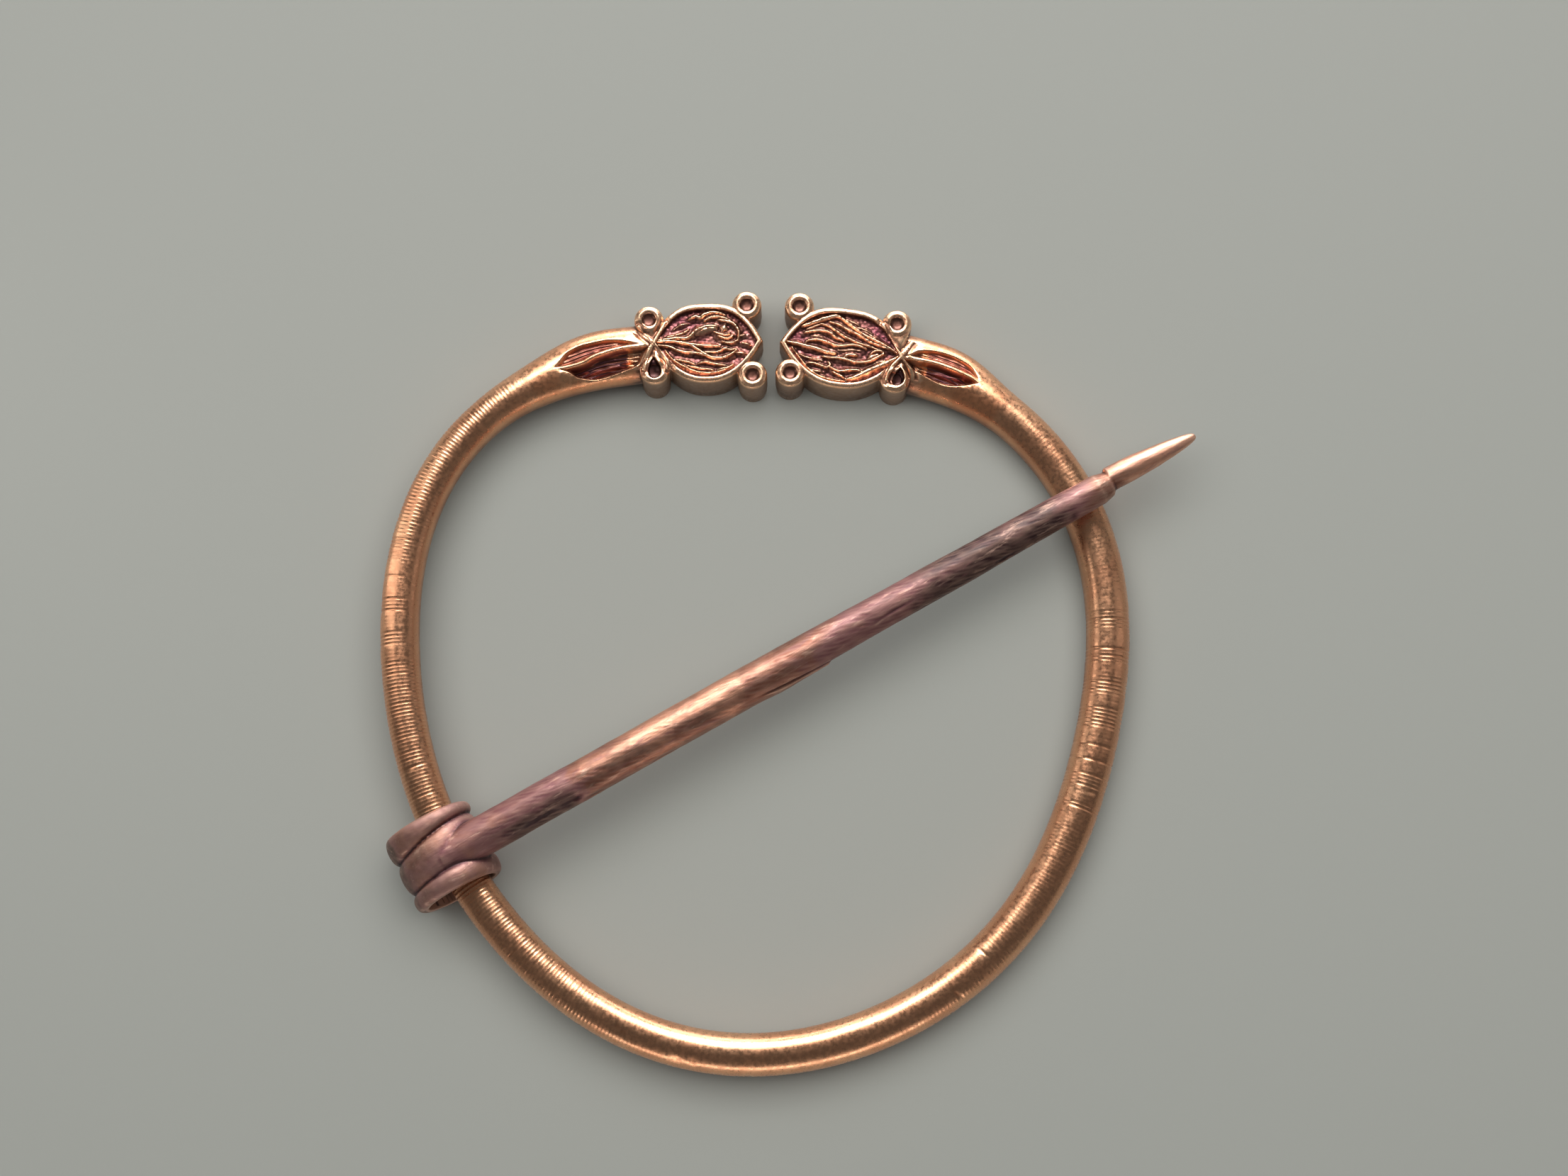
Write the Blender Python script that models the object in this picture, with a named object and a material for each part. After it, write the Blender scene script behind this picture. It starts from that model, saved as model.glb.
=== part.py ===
import math

import bmesh
import bpy
import numpy as np
from mathutils import Matrix, Vector

# A penannular brooch lying on its back. It has two pieces, each with its own node:
#   hoop  a ribbed bronze ring cast in one with two beaked heads that face across a gap
#   pin   a bronze pin whose rolled head rides loosely round the hoop
# Both are first built with the hoop level, its middle plane at height 0 and the gap towards +Y.
# Then they are tipped to where the brooch rests, and the undersides are cut level.
# All sizes are in metres and all angles in degrees.

# Hoop
hoop_radius = 0.0336
wire_thickness = 0.0039
# the wire is a little thicker on one side of the hoop
wire_unevenness = 0.0002
thick_side = 350
# hand-bent shape of the hoop: lobes round it, height of each, direction of its first peak
hoop_lobes = ((2, 0.00034, -67), (3, 0.0014, 30), (4, 0.0005, -44), (5, 0.0001, -15), (6, 0.00013, 18))
hoop_stations = 84
wire_sides = 16

# Gap between the two heads
gap_direction = 87.2
tip_gap = 0.0017

# Heads: almond plates standing as drums on the ground, front level and back level
head_front = 0.0022
head_back = 0.0027
rim_width = 0.00042
shoulder_bulge = 0.00034
shoulder_drop = 0.00045
recess_depth = 0.0006
fullness_out = 3.0
fullness_in = 2.3
outline_steps = 12

left_head_length = 0.0101
left_head_half_width = 0.00342
left_head_lift = 0.0004
right_head_length = 0.01136
right_head_half_width = 0.00362
right_head_lift = -0.0003

# Bosses of the heads, one pair beside the tip and one beside the waist
boss_diameter = 0.0028
boss_rim_diameter = 0.00215
boss_proud = 0.00006
eye_diameter = 0.00135
eye_depth = 0.0005
boss_sides = 24
# tip bosses, outer then inner: how far back from the tip each one meets the plate, how far it bites in
left_tip_bosses = ((0.00205, 0.0006), (0.00175, 0.0002))
right_tip_bosses = ((0.002, 0.0002), (0.0018, 0.0007))
# waist bosses, outer then inner: how far on from the waist, how far out from the middle line
left_waist_bosses = ((-0.0004, 0.0023), (0.0001, -0.0027))
right_waist_bosses = ((0.0007, 0.0033), (0.0, -0.0022))

# Raised veins in the almond plates: where each starts and ends across, its sway, all as shares
vein_width = 0.00042
vein_rise = 0.00036
vein_steps = 9
left_veins = ((0.0, 0.42, 0.22), (0.0, -0.16, -0.10), (0.0, -0.58, -0.26))
right_veins = ((0.0, 0.50, 0.24), (0.0, 0.04, -0.10), (0.0, -0.46, -0.30))

# Necks: the wire swells towards each head and carries a leaf of two sunk cells
left_neck_width = 0.0057
left_neck_length = 0.018
right_neck_width = 0.0055
right_neck_length = 0.0125
neck_fullness = 0.0005
# at the waist the top of the neck is this much lower than the plate
neck_step = 0.00008
left_leaf_length = 0.0097
right_leaf_length = 0.0082
leaf_width = 0.0034
leaf_depth = 0.0008
leaf_ridge = 0.00045
leaf_start = 0.0006
leaf_steps = 9

# Pin head: a rolled barrel of three ribs round the hoop
pin_direction = 211
barrel_wall = 0.0010
barrel_play = 0.0028
barrel_shift_out = 0.0009
barrel_shift_up = 0.00025
rib_widths = (0.0021, 0.0031, 0.0021)
rib_groove = 0.00055
barrel_sides = 40
rib_steps = 6

# Pin shank
pin_length = 0.0799
pin_skew = -0.4
pin_rest_gap = 0.0003
# the shank leaves its head nearer to the last rib, and the thin end is a little bent
shank_aside = -0.00045
end_aside = -0.00012
tip_aside = -0.0005
shank_root_thickness = 0.0037
shank_middle_thickness = 0.0037
shank_crossing_thickness = 0.0029
shank_end_thickness = 0.00235
shank_flatness = 0.92
shoulder_before_tip = 0.0094
shoulder_length = 0.0011
tip_length = 0.0075
tip_thickness = 0.0003
shank_sides = 16

# Flat spots on which the brooch rests
barrel_flat = 0.0001
wire_flat = 0.00006

barrel_bore = wire_thickness + barrel_play
barrel_radius = barrel_bore / 2 + barrel_wall
barrel_length = sum(rib_widths)


def start_clean():
    for item in list(bpy.data.objects):
        bpy.data.objects.remove(item, do_unlink=True)
    for item in list(bpy.data.collections):
        bpy.data.collections.remove(item)


def add_collection(name):
    made = bpy.data.collections.new(name)
    bpy.context.scene.collection.children.link(made)
    return made


def add_mesh(name, points, faces, where):
    mesh = bpy.data.meshes.new(name)
    mesh.from_pydata([tuple(p) for p in points], [], faces)
    mesh.update()
    item = bpy.data.objects.new(name, mesh)
    where.objects.link(item)
    return item


def face_outwards(item, weld=0.000002):
    work = bmesh.new()
    work.from_mesh(item.data)
    bmesh.ops.remove_doubles(work, verts=work.verts, dist=weld)
    bmesh.ops.recalc_face_normals(work, faces=work.faces)
    if work.calc_volume(signed=True) < 0:
        bmesh.ops.reverse_faces(work, faces=work.faces)
    work.to_mesh(item.data)
    work.free()


def loft(name, sections, where):
    # closed body through rings of equally many points, with a cap at each end
    count = len(sections[0])
    points = [p for ring in sections for p in ring]
    faces = [tuple(range(count))[::-1]]
    for k in range(len(sections) - 1):
        for j in range(count):
            a = k * count + j
            b = k * count + (j + 1) % count
            faces.append((a, b, b + count, a + count))
    last = (len(sections) - 1) * count
    faces.append(tuple(range(last, last + count)))
    item = add_mesh(name, points, faces, where)
    face_outwards(item)
    return item


def combine(target, others, kind):
    # one Boolean with each of the other bodies, applied at once; the exact solver loses the hoop
    # for some lengths of the heads, where plate, boss and neck meet in slivers
    for other in others:
        step = target.modifiers.new(kind.lower(), "BOOLEAN")
        step.operation = kind
        step.solver = "MANIFOLD"
        step.object = other
        graph = bpy.context.evaluated_depsgraph_get()
        mesh = bpy.data.meshes.new_from_object(target.evaluated_get(graph))
        target.modifiers.clear()
        target.data = mesh
        bpy.data.objects.remove(other, do_unlink=True)
    face_outwards(target, 0.00000001)


def turn_mesh(item, matrix):
    item.data.transform(matrix)
    item.data.update()


# Shape of the hoop
def ring_radius(angle):
    lobes = sum(h * math.cos(n * math.radians(angle - peak)) for n, h, peak in hoop_lobes)
    return hoop_radius + lobes


def ring_point(angle):
    radius = ring_radius(angle)
    return Vector((radius * math.cos(math.radians(angle)), radius * math.sin(math.radians(angle)), 0))


def ring_tangent(angle):
    return (ring_point(angle + 0.05) - ring_point(angle - 0.05)).normalized()


def ring_out(angle):
    along = ring_tangent(angle)
    return Vector((along.y, -along.x, 0))


def waist_angle(length, side):
    # direction in which a head of this length has to start, so that its tip stops at the gap
    chord = length + tip_gap / 2
    return gap_direction + side * math.degrees(2 * math.asin(chord / (2 * ring_radius(gap_direction))))


left_waist = waist_angle(left_head_length, 1)
right_waist = waist_angle(right_head_length, -1)


def swell(distance, length):
    if distance >= length:
        return 0.0
    return math.cos(math.pi / 2 * distance / length) ** 2


def past_gap(angle):
    # the same direction, counted on from the gap between the heads
    return gap_direction + (angle - gap_direction) % 360


def neck_bulge(angle):
    # each neck is fuller on its outer side halfway along its leaf
    angle = past_gap(angle)
    total = 0.0
    for distance, length in ((math.radians(angle - left_waist) * hoop_radius, left_leaf_length),
                             (math.radians(right_waist + 360 - angle) * hoop_radius, right_leaf_length)):
        if 0 < distance < 1.3 * length:
            total += neck_fullness * math.sin(math.pi * distance / (1.3 * length)) ** 2
    return total


def wire_size(angle):
    # width across the hoop and depth at a place, both thicker in the necks
    angle = past_gap(angle)
    to_left = math.radians(angle - left_waist) * hoop_radius
    to_right = math.radians(right_waist + 360 - angle) * hoop_radius
    grow_left = swell(max(to_left, 0), left_neck_length)
    grow_right = swell(max(to_right, 0), right_neck_length)
    width = wire_thickness + wire_unevenness * math.cos(math.radians(angle - thick_side))
    depth = width
    width += grow_left * (left_neck_width - wire_thickness)
    width += grow_right * (right_neck_width - wire_thickness)
    width += neck_bulge(angle)
    depth += (grow_left + grow_right) * (2 * (head_front - neck_step) - depth)
    return width, depth


def wire_ring(centre, out, width, depth, sink=0.0):
    ring = []
    for j in range(wire_sides):
        turn = 2 * math.pi * j / wire_sides
        p = centre + out * (width / 2 * math.cos(turn))
        ring.append(p + Vector((0, 0, depth / 2 * math.sin(turn) - sink)))
    return ring


def make_wire(where):
    sections = []
    # a short nose runs on into each head
    for past, share in ((0.0016, 0.45), (0.0007, 0.82)):
        angle = left_waist - math.degrees(past / hoop_radius)
        width, depth = wire_size(left_waist)
        sections.append(wire_ring(ring_point(angle), ring_out(angle), width * share,
                                  depth * (0.35 + 0.45 * share), recess_depth))
    for k in range(hoop_stations + 1):
        angle = left_waist + (right_waist + 360 - left_waist) * k / hoop_stations
        width, depth = wire_size(angle)
        centre = ring_point(angle) + ring_out(angle) * neck_bulge(angle) / 2
        sections.append(wire_ring(centre, ring_out(angle), width, depth))
    for past, share in ((0.0007, 0.82), (0.0016, 0.45)):
        angle = right_waist + 360 + math.degrees(past / hoop_radius)
        width, depth = wire_size(right_waist + 360)
        sections.append(wire_ring(ring_point(angle), ring_out(angle), width * share,
                                  depth * (0.35 + 0.45 * share), recess_depth))
    return loft("wire", sections, where)


# Heads
def head_matrix(waist, lift, side):
    # local X runs from the waist to the tip and local Y outwards from the hoop
    start = ring_point(waist) + ring_out(waist) * lift
    aim = (ring_point(gap_direction) - start).normalized()
    across = Vector((-aim.y, aim.x, 0)) * side
    matrix = Matrix.Identity(4)
    for row in range(3):
        matrix[row][0] = aim[row]
        matrix[row][1] = across[row]
        matrix[row][3] = start[row]
    return matrix


def almond(length, half_width, grow, height):
    # closed almond outline, pointed at both ends, grown or shrunk by the same amount all round
    ring = []
    full = length / 2 + grow
    wide = half_width + grow
    for k in range(2 * outline_steps):
        share = -1 + 2 * (k % outline_steps) / outline_steps
        if k < outline_steps:
            y = wide * (1 - abs(share) ** fullness_out)
        else:
            share = -share
            y = -wide * (1 - abs(share) ** fullness_in)
        ring.append(Vector((length / 2 + full * share, y, height)))
    return ring


def beside_plate(length, half_width, back, bite, side):
    # centre of a boss that bites into the plate's shoulder at a distance back from the tip
    fullness = fullness_out if side > 0 else fullness_in
    share = 1 - 2 * back / length
    slope = -2 * fullness * half_width * abs(share) ** (fullness - 1) * math.copysign(1, share) / length
    outwards = Vector((-slope, 1)).normalized()
    edge = Vector((length - back, half_width * (1 - abs(share) ** fullness)))
    centre = edge + outwards * (shoulder_bulge + boss_diameter / 2 - bite)
    return centre.x, side * centre.y


def make_plate(name, length, half_width, where):
    low = -(head_back + 0.001)
    sections = [almond(length, half_width, 0.4 * shoulder_bulge, low)]
    sections.append(almond(length, half_width, shoulder_bulge, -head_back / 2))
    sections.append(almond(length, half_width, shoulder_bulge, head_front - shoulder_drop))
    sections.append(almond(length, half_width, 0.55 * shoulder_bulge, head_front - 0.3 * shoulder_drop))
    sections.append(almond(length, half_width, 0, head_front))
    return loft(name, sections, where)


def make_recess(name, length, half_width, where):
    floor = head_front - recess_depth
    sections = [almond(length, half_width, -1.25 * rim_width, floor)]
    sections.append(almond(length, half_width, -rim_width, head_front))
    sections.append(almond(length, half_width, -rim_width, head_front + 0.001))
    return loft(name, sections, where)


def make_vein(name, length, half_width, vein, where):
    # a low ridge that leaves the waist and sways across the sunk floor
    first, last, sway = vein
    floor = head_front - recess_depth
    sections = []
    for k in range(vein_steps + 1):
        t = k / vein_steps
        x = length * (0.13 + 0.70 * t)
        share = 2 * x / length - 1
        room = half_width * (1 - abs(share) ** fullness_in)
        y = room * (first + (last - first) * t + sway * math.sin(math.pi * t))
        thin = 0.45 + 0.55 * math.sin(math.pi * (0.12 + 0.76 * t))
        half = vein_width / 2 * thin
        sections.append([Vector((x, y - half, floor - 0.0003)), Vector((x, y + half, floor - 0.0003)),
                         Vector((x, y + half * 0.8, floor + 0.0001)),
                         Vector((x, y, floor + vein_rise * thin)),
                         Vector((x, y - half * 0.8, floor + 0.0001))])
    return loft(name, sections, where)


def make_boss(name, place, order, where):
    # a round drum with a rounded shoulder and a level rim; the ground cuts all the feet level
    foot = -(head_back + 0.0011 + 0.00009 * order)
    levels = ((boss_diameter / 2 * 0.9, foot), (boss_diameter / 2, -head_back / 2 - 0.00005 * order),
              (boss_diameter / 2, head_front - 0.00042),
              ((boss_diameter + boss_rim_diameter) / 4 + 0.0001, head_front - 0.0001),
              (boss_rim_diameter / 2, head_front + boss_proud))
    sections = []
    for radius, height in levels:
        ring = []
        for j in range(boss_sides):
            turn = 2 * math.pi * j / boss_sides
            ring.append(Vector((place[0] + radius * math.cos(turn),
                                place[1] + radius * math.sin(turn), height)))
        sections.append(ring)
    return loft(name, sections, where)


def make_web(name, place, order, where):
    # the drop-shaped loop that joins a waist boss to the waist
    top = head_front - 0.00005 * order
    away = Vector((place[0], place[1], 0))
    along = away.normalized()
    across = Vector((-along.y, along.x, 0))
    low = -head_back + 0.0002 * order
    sections = []
    for distance, half in ((-0.0003, 0.00018), (away.length * 0.45, 0.0007),
                           (away.length * 0.8, boss_diameter / 2 - 0.00028)):
        centre = along * distance
        sections.append([centre - across * half + Vector((0, 0, low)),
                         centre + across * half + Vector((0, 0, low)),
                         centre + across * half + Vector((0, 0, top - 0.00017)),
                         centre + across * half * 0.6 + Vector((0, 0, top)),
                         centre - across * half * 0.6 + Vector((0, 0, top)),
                         centre - across * half + Vector((0, 0, top - 0.00017))])
    return loft(name, sections, where)


def make_eye(name, place, where):
    sections = []
    for radius, height in ((eye_diameter / 2 * 0.8, head_front - eye_depth),
                           (eye_diameter / 2, head_front - eye_depth * 0.5),
                           (eye_diameter / 2, head_front + 0.001)):
        ring = []
        for j in range(boss_sides):
            turn = 2 * math.pi * (j + 0.5) / boss_sides
            ring.append(Vector((place[0] + radius * math.cos(turn),
                                place[1] + radius * math.sin(turn), height)))
        sections.append(ring)
    return loft(name, sections, where)


def make_leaf_cell(name, waist, turn, length, side, where):
    # one sunk cell beside the middle ridge of a neck; it follows the hoop's curve
    floor = head_front - leaf_depth
    near = []
    far = []
    for k in range(leaf_steps + 1):
        t = k / leaf_steps
        angle = waist + turn * math.degrees((leaf_start + t * (length - leaf_start)) / hoop_radius)
        centre = ring_point(angle)
        out = ring_out(angle) * side
        inner = leaf_ridge / 2
        outer = inner + (leaf_width / 2 - inner) * math.sin(math.pi * (0.02 + 0.96 * t) ** 0.85)
        near.append(centre + out * inner)
        far.append(centre + out * outer)
    outline = near + far[::-1]
    sections = [[p + Vector((0, 0, z)) for p in outline] for z in (floor, head_front + 0.001)]
    return loft(name, sections, where)


def make_hoop(where, cutters):
    hoop = make_wire(where)
    left = head_matrix(left_waist, left_head_lift, 1)
    right = head_matrix(right_waist, right_head_lift, -1)
    bodies = []
    veins = []
    cuts = []
    for side, matrix, length, half, tips, waists, lines in (
            ("left", left, left_head_length, left_head_half_width,
             left_tip_bosses, left_waist_bosses, left_veins),
            ("right", right, right_head_length, right_head_half_width,
             right_tip_bosses, right_waist_bosses, right_veins)):
        mine = [make_plate(side + "_plate", length, half, cutters)]
        bosses = [beside_plate(length, half, back, bite, out) for (back, bite), out in zip(tips, (1, -1))]
        bosses += waists
        for k, place in enumerate(bosses):
            mine.append(make_boss(side + "_boss_" + str(k), place, k, cutters))
            eye = make_eye(side + "_eye_" + str(k), place, cutters)
            turn_mesh(eye, matrix)
            cuts.append(eye)
        for k in (2, 3):
            mine.append(make_web(side + "_web_" + str(k), bosses[k], k, cutters))
        for item in mine:
            turn_mesh(item, matrix)
            face_outwards(item)
        bodies += mine
        recess = make_recess(side + "_recess", length, half, cutters)
        turn_mesh(recess, matrix)
        cuts.append(recess)
        for k, line in enumerate(lines):
            vein = make_vein(side + "_vein_" + str(k), length, half, line, cutters)
            turn_mesh(vein, matrix)
            veins.append(vein)
    for side in (1, -1):
        cuts.append(make_leaf_cell("left_cell", left_waist, 1, left_leaf_length, side, cutters))
        cuts.append(make_leaf_cell("right_cell", right_waist, -1, right_leaf_length, side, cutters))
    for item in cuts + veins:
        face_outwards(item)
    combine(hoop, bodies, "UNION")
    combine(hoop, cuts, "DIFFERENCE")
    combine(hoop, veins, "UNION")
    return hoop


# Pin, first built along +X with the axis of its head along Y through the origin
def rib_profile():
    # places along the barrel and the radius there: three round ribs with grooves between
    profile = []
    start = -barrel_length / 2
    for width in rib_widths:
        for k in range(rib_steps + 1):
            share = -1 + 2 * k / rib_steps
            share = math.copysign(abs(share) ** 0.8, share)
            drop = rib_groove * (1 - math.sqrt(max(0.0, 1 - 0.94 * share * share)))
            place = start + width / 2 * (1 + share)
            if not profile or place - profile[-1][0] > 0.00002:
                profile.append((place, barrel_radius - drop))
        start += width
    return profile


def make_barrel(where):
    sections = []
    for place, radius in rib_profile():
        ring = []
        for j in range(barrel_sides):
            turn = 2 * math.pi * j / barrel_sides
            ring.append(Vector((radius * math.cos(turn), place, radius * math.sin(turn))))
        sections.append(ring)
    return loft("barrel", sections, where)


def shank_half(distance, crossing):
    # half thickness at a distance from the axis of the head
    shoulder = pin_length - shoulder_before_tip
    taper = pin_length - tip_length
    if distance <= crossing / 2:
        t = distance / (crossing / 2)
        return (shank_root_thickness + (shank_middle_thickness - shank_root_thickness) * t) / 2
    if distance <= shoulder - shoulder_length:
        t = (distance - crossing / 2) / (shoulder - shoulder_length - crossing / 2)
        return (shank_middle_thickness + (shank_crossing_thickness - shank_middle_thickness) * t) / 2
    if distance <= shoulder:
        t = (distance - shoulder + shoulder_length) / shoulder_length
        return (shank_crossing_thickness + (shank_end_thickness - shank_crossing_thickness) * t) / 2
    if distance <= taper:
        return shank_end_thickness / 2
    t = (distance - taper) / tip_length
    return (tip_thickness + (shank_end_thickness - tip_thickness) * math.sqrt(max(0.0, 1 - t ** 1.3))) / 2


def far_crossing():
    # where the line of the pin meets the far side of the hoop
    start = barrel_place()
    ahead = pin_heading()
    across = Vector((-ahead.y, ahead.x, 0))
    best = min((k * 0.05 for k in range(7200)), key=lambda a: crossing_error(a, start, ahead, across))
    return (ring_point(best) - start).dot(ahead)


def crossing_error(angle, start, ahead, across):
    step = ring_point(angle) - start
    if step.dot(ahead) < hoop_radius:
        return 1.0
    return abs(step.dot(across))


def barrel_place():
    place = ring_point(pin_direction) + ring_out(pin_direction) * barrel_shift_out
    return place + Vector((0, 0, barrel_shift_up))


def pin_heading():
    inwards = -ring_out(pin_direction)
    turned = Matrix.Rotation(math.radians(-pin_skew), 3, "Z") @ inwards
    return turned.normalized()


def make_pin(where, cutters):
    crossing = far_crossing()
    root_height = barrel_radius - shank_flatness * shank_root_thickness / 2
    crossing_height = (wire_thickness + wire_unevenness) / 2 + pin_rest_gap - barrel_shift_up
    crossing_height += shank_flatness * shank_half(crossing, crossing)
    slope = (crossing_height - root_height) / crossing
    stops = [0.0, 0.002, 0.0045]
    stops += [0.0045 + (crossing / 2 - 0.0045) * k / 4 for k in range(1, 5)]
    shoulder = pin_length - shoulder_before_tip
    stops += [crossing / 2 + (shoulder - shoulder_length - crossing / 2) * k / 4 for k in range(1, 5)]
    stops += [shoulder]
    stops += [pin_length - tip_length * (1 - t) for t in (0, 0.25, 0.45, 0.65, 0.8, 0.9, 0.96, 1.0)]
    sections = []
    for distance in stops:
        half = shank_half(distance, crossing)
        aside = shank_aside
        if distance >= shoulder:
            aside = end_aside + (tip_aside - end_aside) * (distance - shoulder) / shoulder_before_tip
        ring = []
        for j in range(shank_sides):
            turn = 2 * math.pi * (j + 0.5) / shank_sides
            ring.append(Vector((distance, aside + half * math.cos(turn),
                                root_height + slope * distance + shank_flatness * half * math.sin(turn))))
        sections.append(ring)
    pin = loft("pin", sections, where)
    # the pin leaves its head a little askew, so the head is turned back under it
    barrel = make_barrel(cutters)
    turn_mesh(barrel, Matrix.Rotation(math.radians(pin_skew), 4, "Z"))
    face_outwards(barrel)
    combine(pin, [barrel], "UNION")
    bore_sides = []
    for place in (-barrel_length, barrel_length):
        ring = []
        for j in range(barrel_sides):
            turn = 2 * math.pi * (j + 0.5) / barrel_sides
            ring.append(Vector((barrel_bore / 2 * math.cos(turn), place, barrel_bore / 2 * math.sin(turn))))
        bore_sides.append(ring)
    bore = loft("bore", bore_sides, cutters)
    turn_mesh(bore, Matrix.Rotation(math.radians(pin_skew), 4, "Z"))
    face_outwards(bore)
    combine(pin, [bore], "DIFFERENCE")
    return pin


def pin_matrix():
    ahead = pin_heading()
    across = Vector((-ahead.y, ahead.x, 0))
    matrix = Matrix.Identity(4)
    place = barrel_place()
    for row in range(3):
        matrix[row][0] = ahead[row]
        matrix[row][1] = across[row]
        matrix[row][3] = place[row]
    return matrix


def resting_plane(wire_angle):
    # plane through the underside of the pin head, the backs of the heads and one place of the wire
    barrel = barrel_place()
    heads = ring_point(gap_direction)
    wire = ring_point(wire_angle)
    upright = 1.0
    for _ in range(4):
        rows = np.array([[1, barrel.x, barrel.y], [1, heads.x, heads.y], [1, wire.x, wire.y]])
        heights = np.array([barrel_radius - barrel_flat - upright * barrel.z, upright * head_back,
                            wire_size(wire_angle)[1] / 2 - wire_flat])
        rise, lean_x, lean_y = np.linalg.solve(rows, heights)
        upright = math.sqrt(1 - lean_x ** 2 - lean_y ** 2)
    return rise, Vector((lean_x, lean_y, upright))


def lowest_wire(wire_angle):
    rise, lean = resting_plane(wire_angle)
    around = range(0, 360, 3)
    return min(rise + lean.dot(ring_point(a)) - wire_size(a)[1] / 2 for a in around)


def resting_matrix():
    # the hoop lies on the place of its right side that leaves no other place lower
    touching = max((k * 0.5 for k in range(-120, 120)), key=lowest_wire)
    rise, lean = resting_plane(touching)
    turn = lean.rotation_difference(Vector((0, 0, 1))).to_matrix().to_4x4()
    return Matrix.Translation((0, 0, rise)) @ turn


def level_underside(item, cutters):
    ground = add_mesh("ground", *box_shape(0.2, -0.02, 0.0), cutters)
    face_outwards(ground)
    combine(item, [ground], "DIFFERENCE")


def box_shape(reach, low, high):
    points = [(x, y, z) for z in (low, high) for x, y in
              ((-reach, -reach), (reach, -reach), (reach, reach), (-reach, reach))]
    faces = [(3, 2, 1, 0), (4, 5, 6, 7), (0, 1, 5, 4), (1, 2, 6, 5), (2, 3, 7, 6), (3, 0, 4, 7)]
    return points, faces


def centre_shift(items):
    corners = [p.co for item in items for p in item.data.vertices]
    middle_x = (min(p.x for p in corners) + max(p.x for p in corners)) / 2
    middle_y = (min(p.y for p in corners) + max(p.y for p in corners)) / 2
    return Matrix.Translation((-middle_x, -middle_y, 0))


def dress(item, name, colour, roughness):
    item.name = name
    item.data.name = name
    material = bpy.data.materials.new(name + "_bronze")
    material.use_nodes = True
    shader = material.node_tree.nodes["Principled BSDF"]
    shader.inputs["Base Color"].default_value = colour
    shader.inputs["Metallic"].default_value = 1.0
    shader.inputs["Roughness"].default_value = roughness
    item.data.materials.clear()
    item.data.materials.append(material)
    item.data.shade_smooth()
    item.data.set_sharp_from_angle(angle=math.radians(32))


start_clean()
brooch = add_collection("penannular_brooch")
cutters = add_collection("cutters")

hoop = make_hoop(brooch, cutters)
pin = make_pin(brooch, cutters)
rest = resting_matrix()
turn_mesh(hoop, rest)
turn_mesh(pin, rest @ pin_matrix())
level_underside(hoop, cutters)
level_underside(pin, cutters)
shift = centre_shift([hoop, pin])
turn_mesh(hoop, shift)
turn_mesh(pin, shift)

# The pin hangs on an empty whose X axis is the axis on which its head turns
hinge = bpy.data.objects.new("pin_hinge", None)
brooch.objects.link(hinge)
hinge_turn = Vector((1, 0, 0)).rotation_difference(ring_tangent(pin_direction)).to_matrix().to_4x4()
hinge_matrix = shift @ rest @ Matrix.Translation(barrel_place()) @ hinge_turn
hinge.matrix_world = hinge_matrix
turn_mesh(pin, hinge_matrix.inverted())
pin.parent = hinge

dress(hoop, "hoop", (0.55, 0.30, 0.15, 1), 0.33)
dress(pin, "pin", (0.36, 0.20, 0.14, 1), 0.36)
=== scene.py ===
import math
import time

import bmesh
import bpy
import numpy as np
from mathutils import Matrix, Vector


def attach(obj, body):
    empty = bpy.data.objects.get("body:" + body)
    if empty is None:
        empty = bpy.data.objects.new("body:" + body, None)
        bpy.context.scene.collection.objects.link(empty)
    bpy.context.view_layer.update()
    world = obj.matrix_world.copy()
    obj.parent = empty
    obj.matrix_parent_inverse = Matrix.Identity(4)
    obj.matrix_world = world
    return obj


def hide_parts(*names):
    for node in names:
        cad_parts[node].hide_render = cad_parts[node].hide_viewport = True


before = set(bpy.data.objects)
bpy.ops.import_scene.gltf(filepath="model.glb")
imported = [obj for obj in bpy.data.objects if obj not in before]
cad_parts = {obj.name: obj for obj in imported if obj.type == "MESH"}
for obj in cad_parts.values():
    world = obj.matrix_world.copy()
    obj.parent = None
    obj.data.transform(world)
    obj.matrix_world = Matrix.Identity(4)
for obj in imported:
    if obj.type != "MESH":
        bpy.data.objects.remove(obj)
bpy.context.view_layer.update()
started = time.time()

# The brooch is modelled in millimetres with its hoop level: the middle plane of the wire at
# height 0, the centre of the hoop at the origin and the gap between the heads towards +Y.
# Last of all each piece is tipped to the way the brooch lies, made metres and put in its place.
toMetres = 0.001

rest = {
    "leanX": -0.029196, "leanY": -0.008721,       # slope of the level plane once the brooch lies down
    "rise": 3.0224, "shiftX": -3.2721, "shiftY": -0.02,
}

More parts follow.
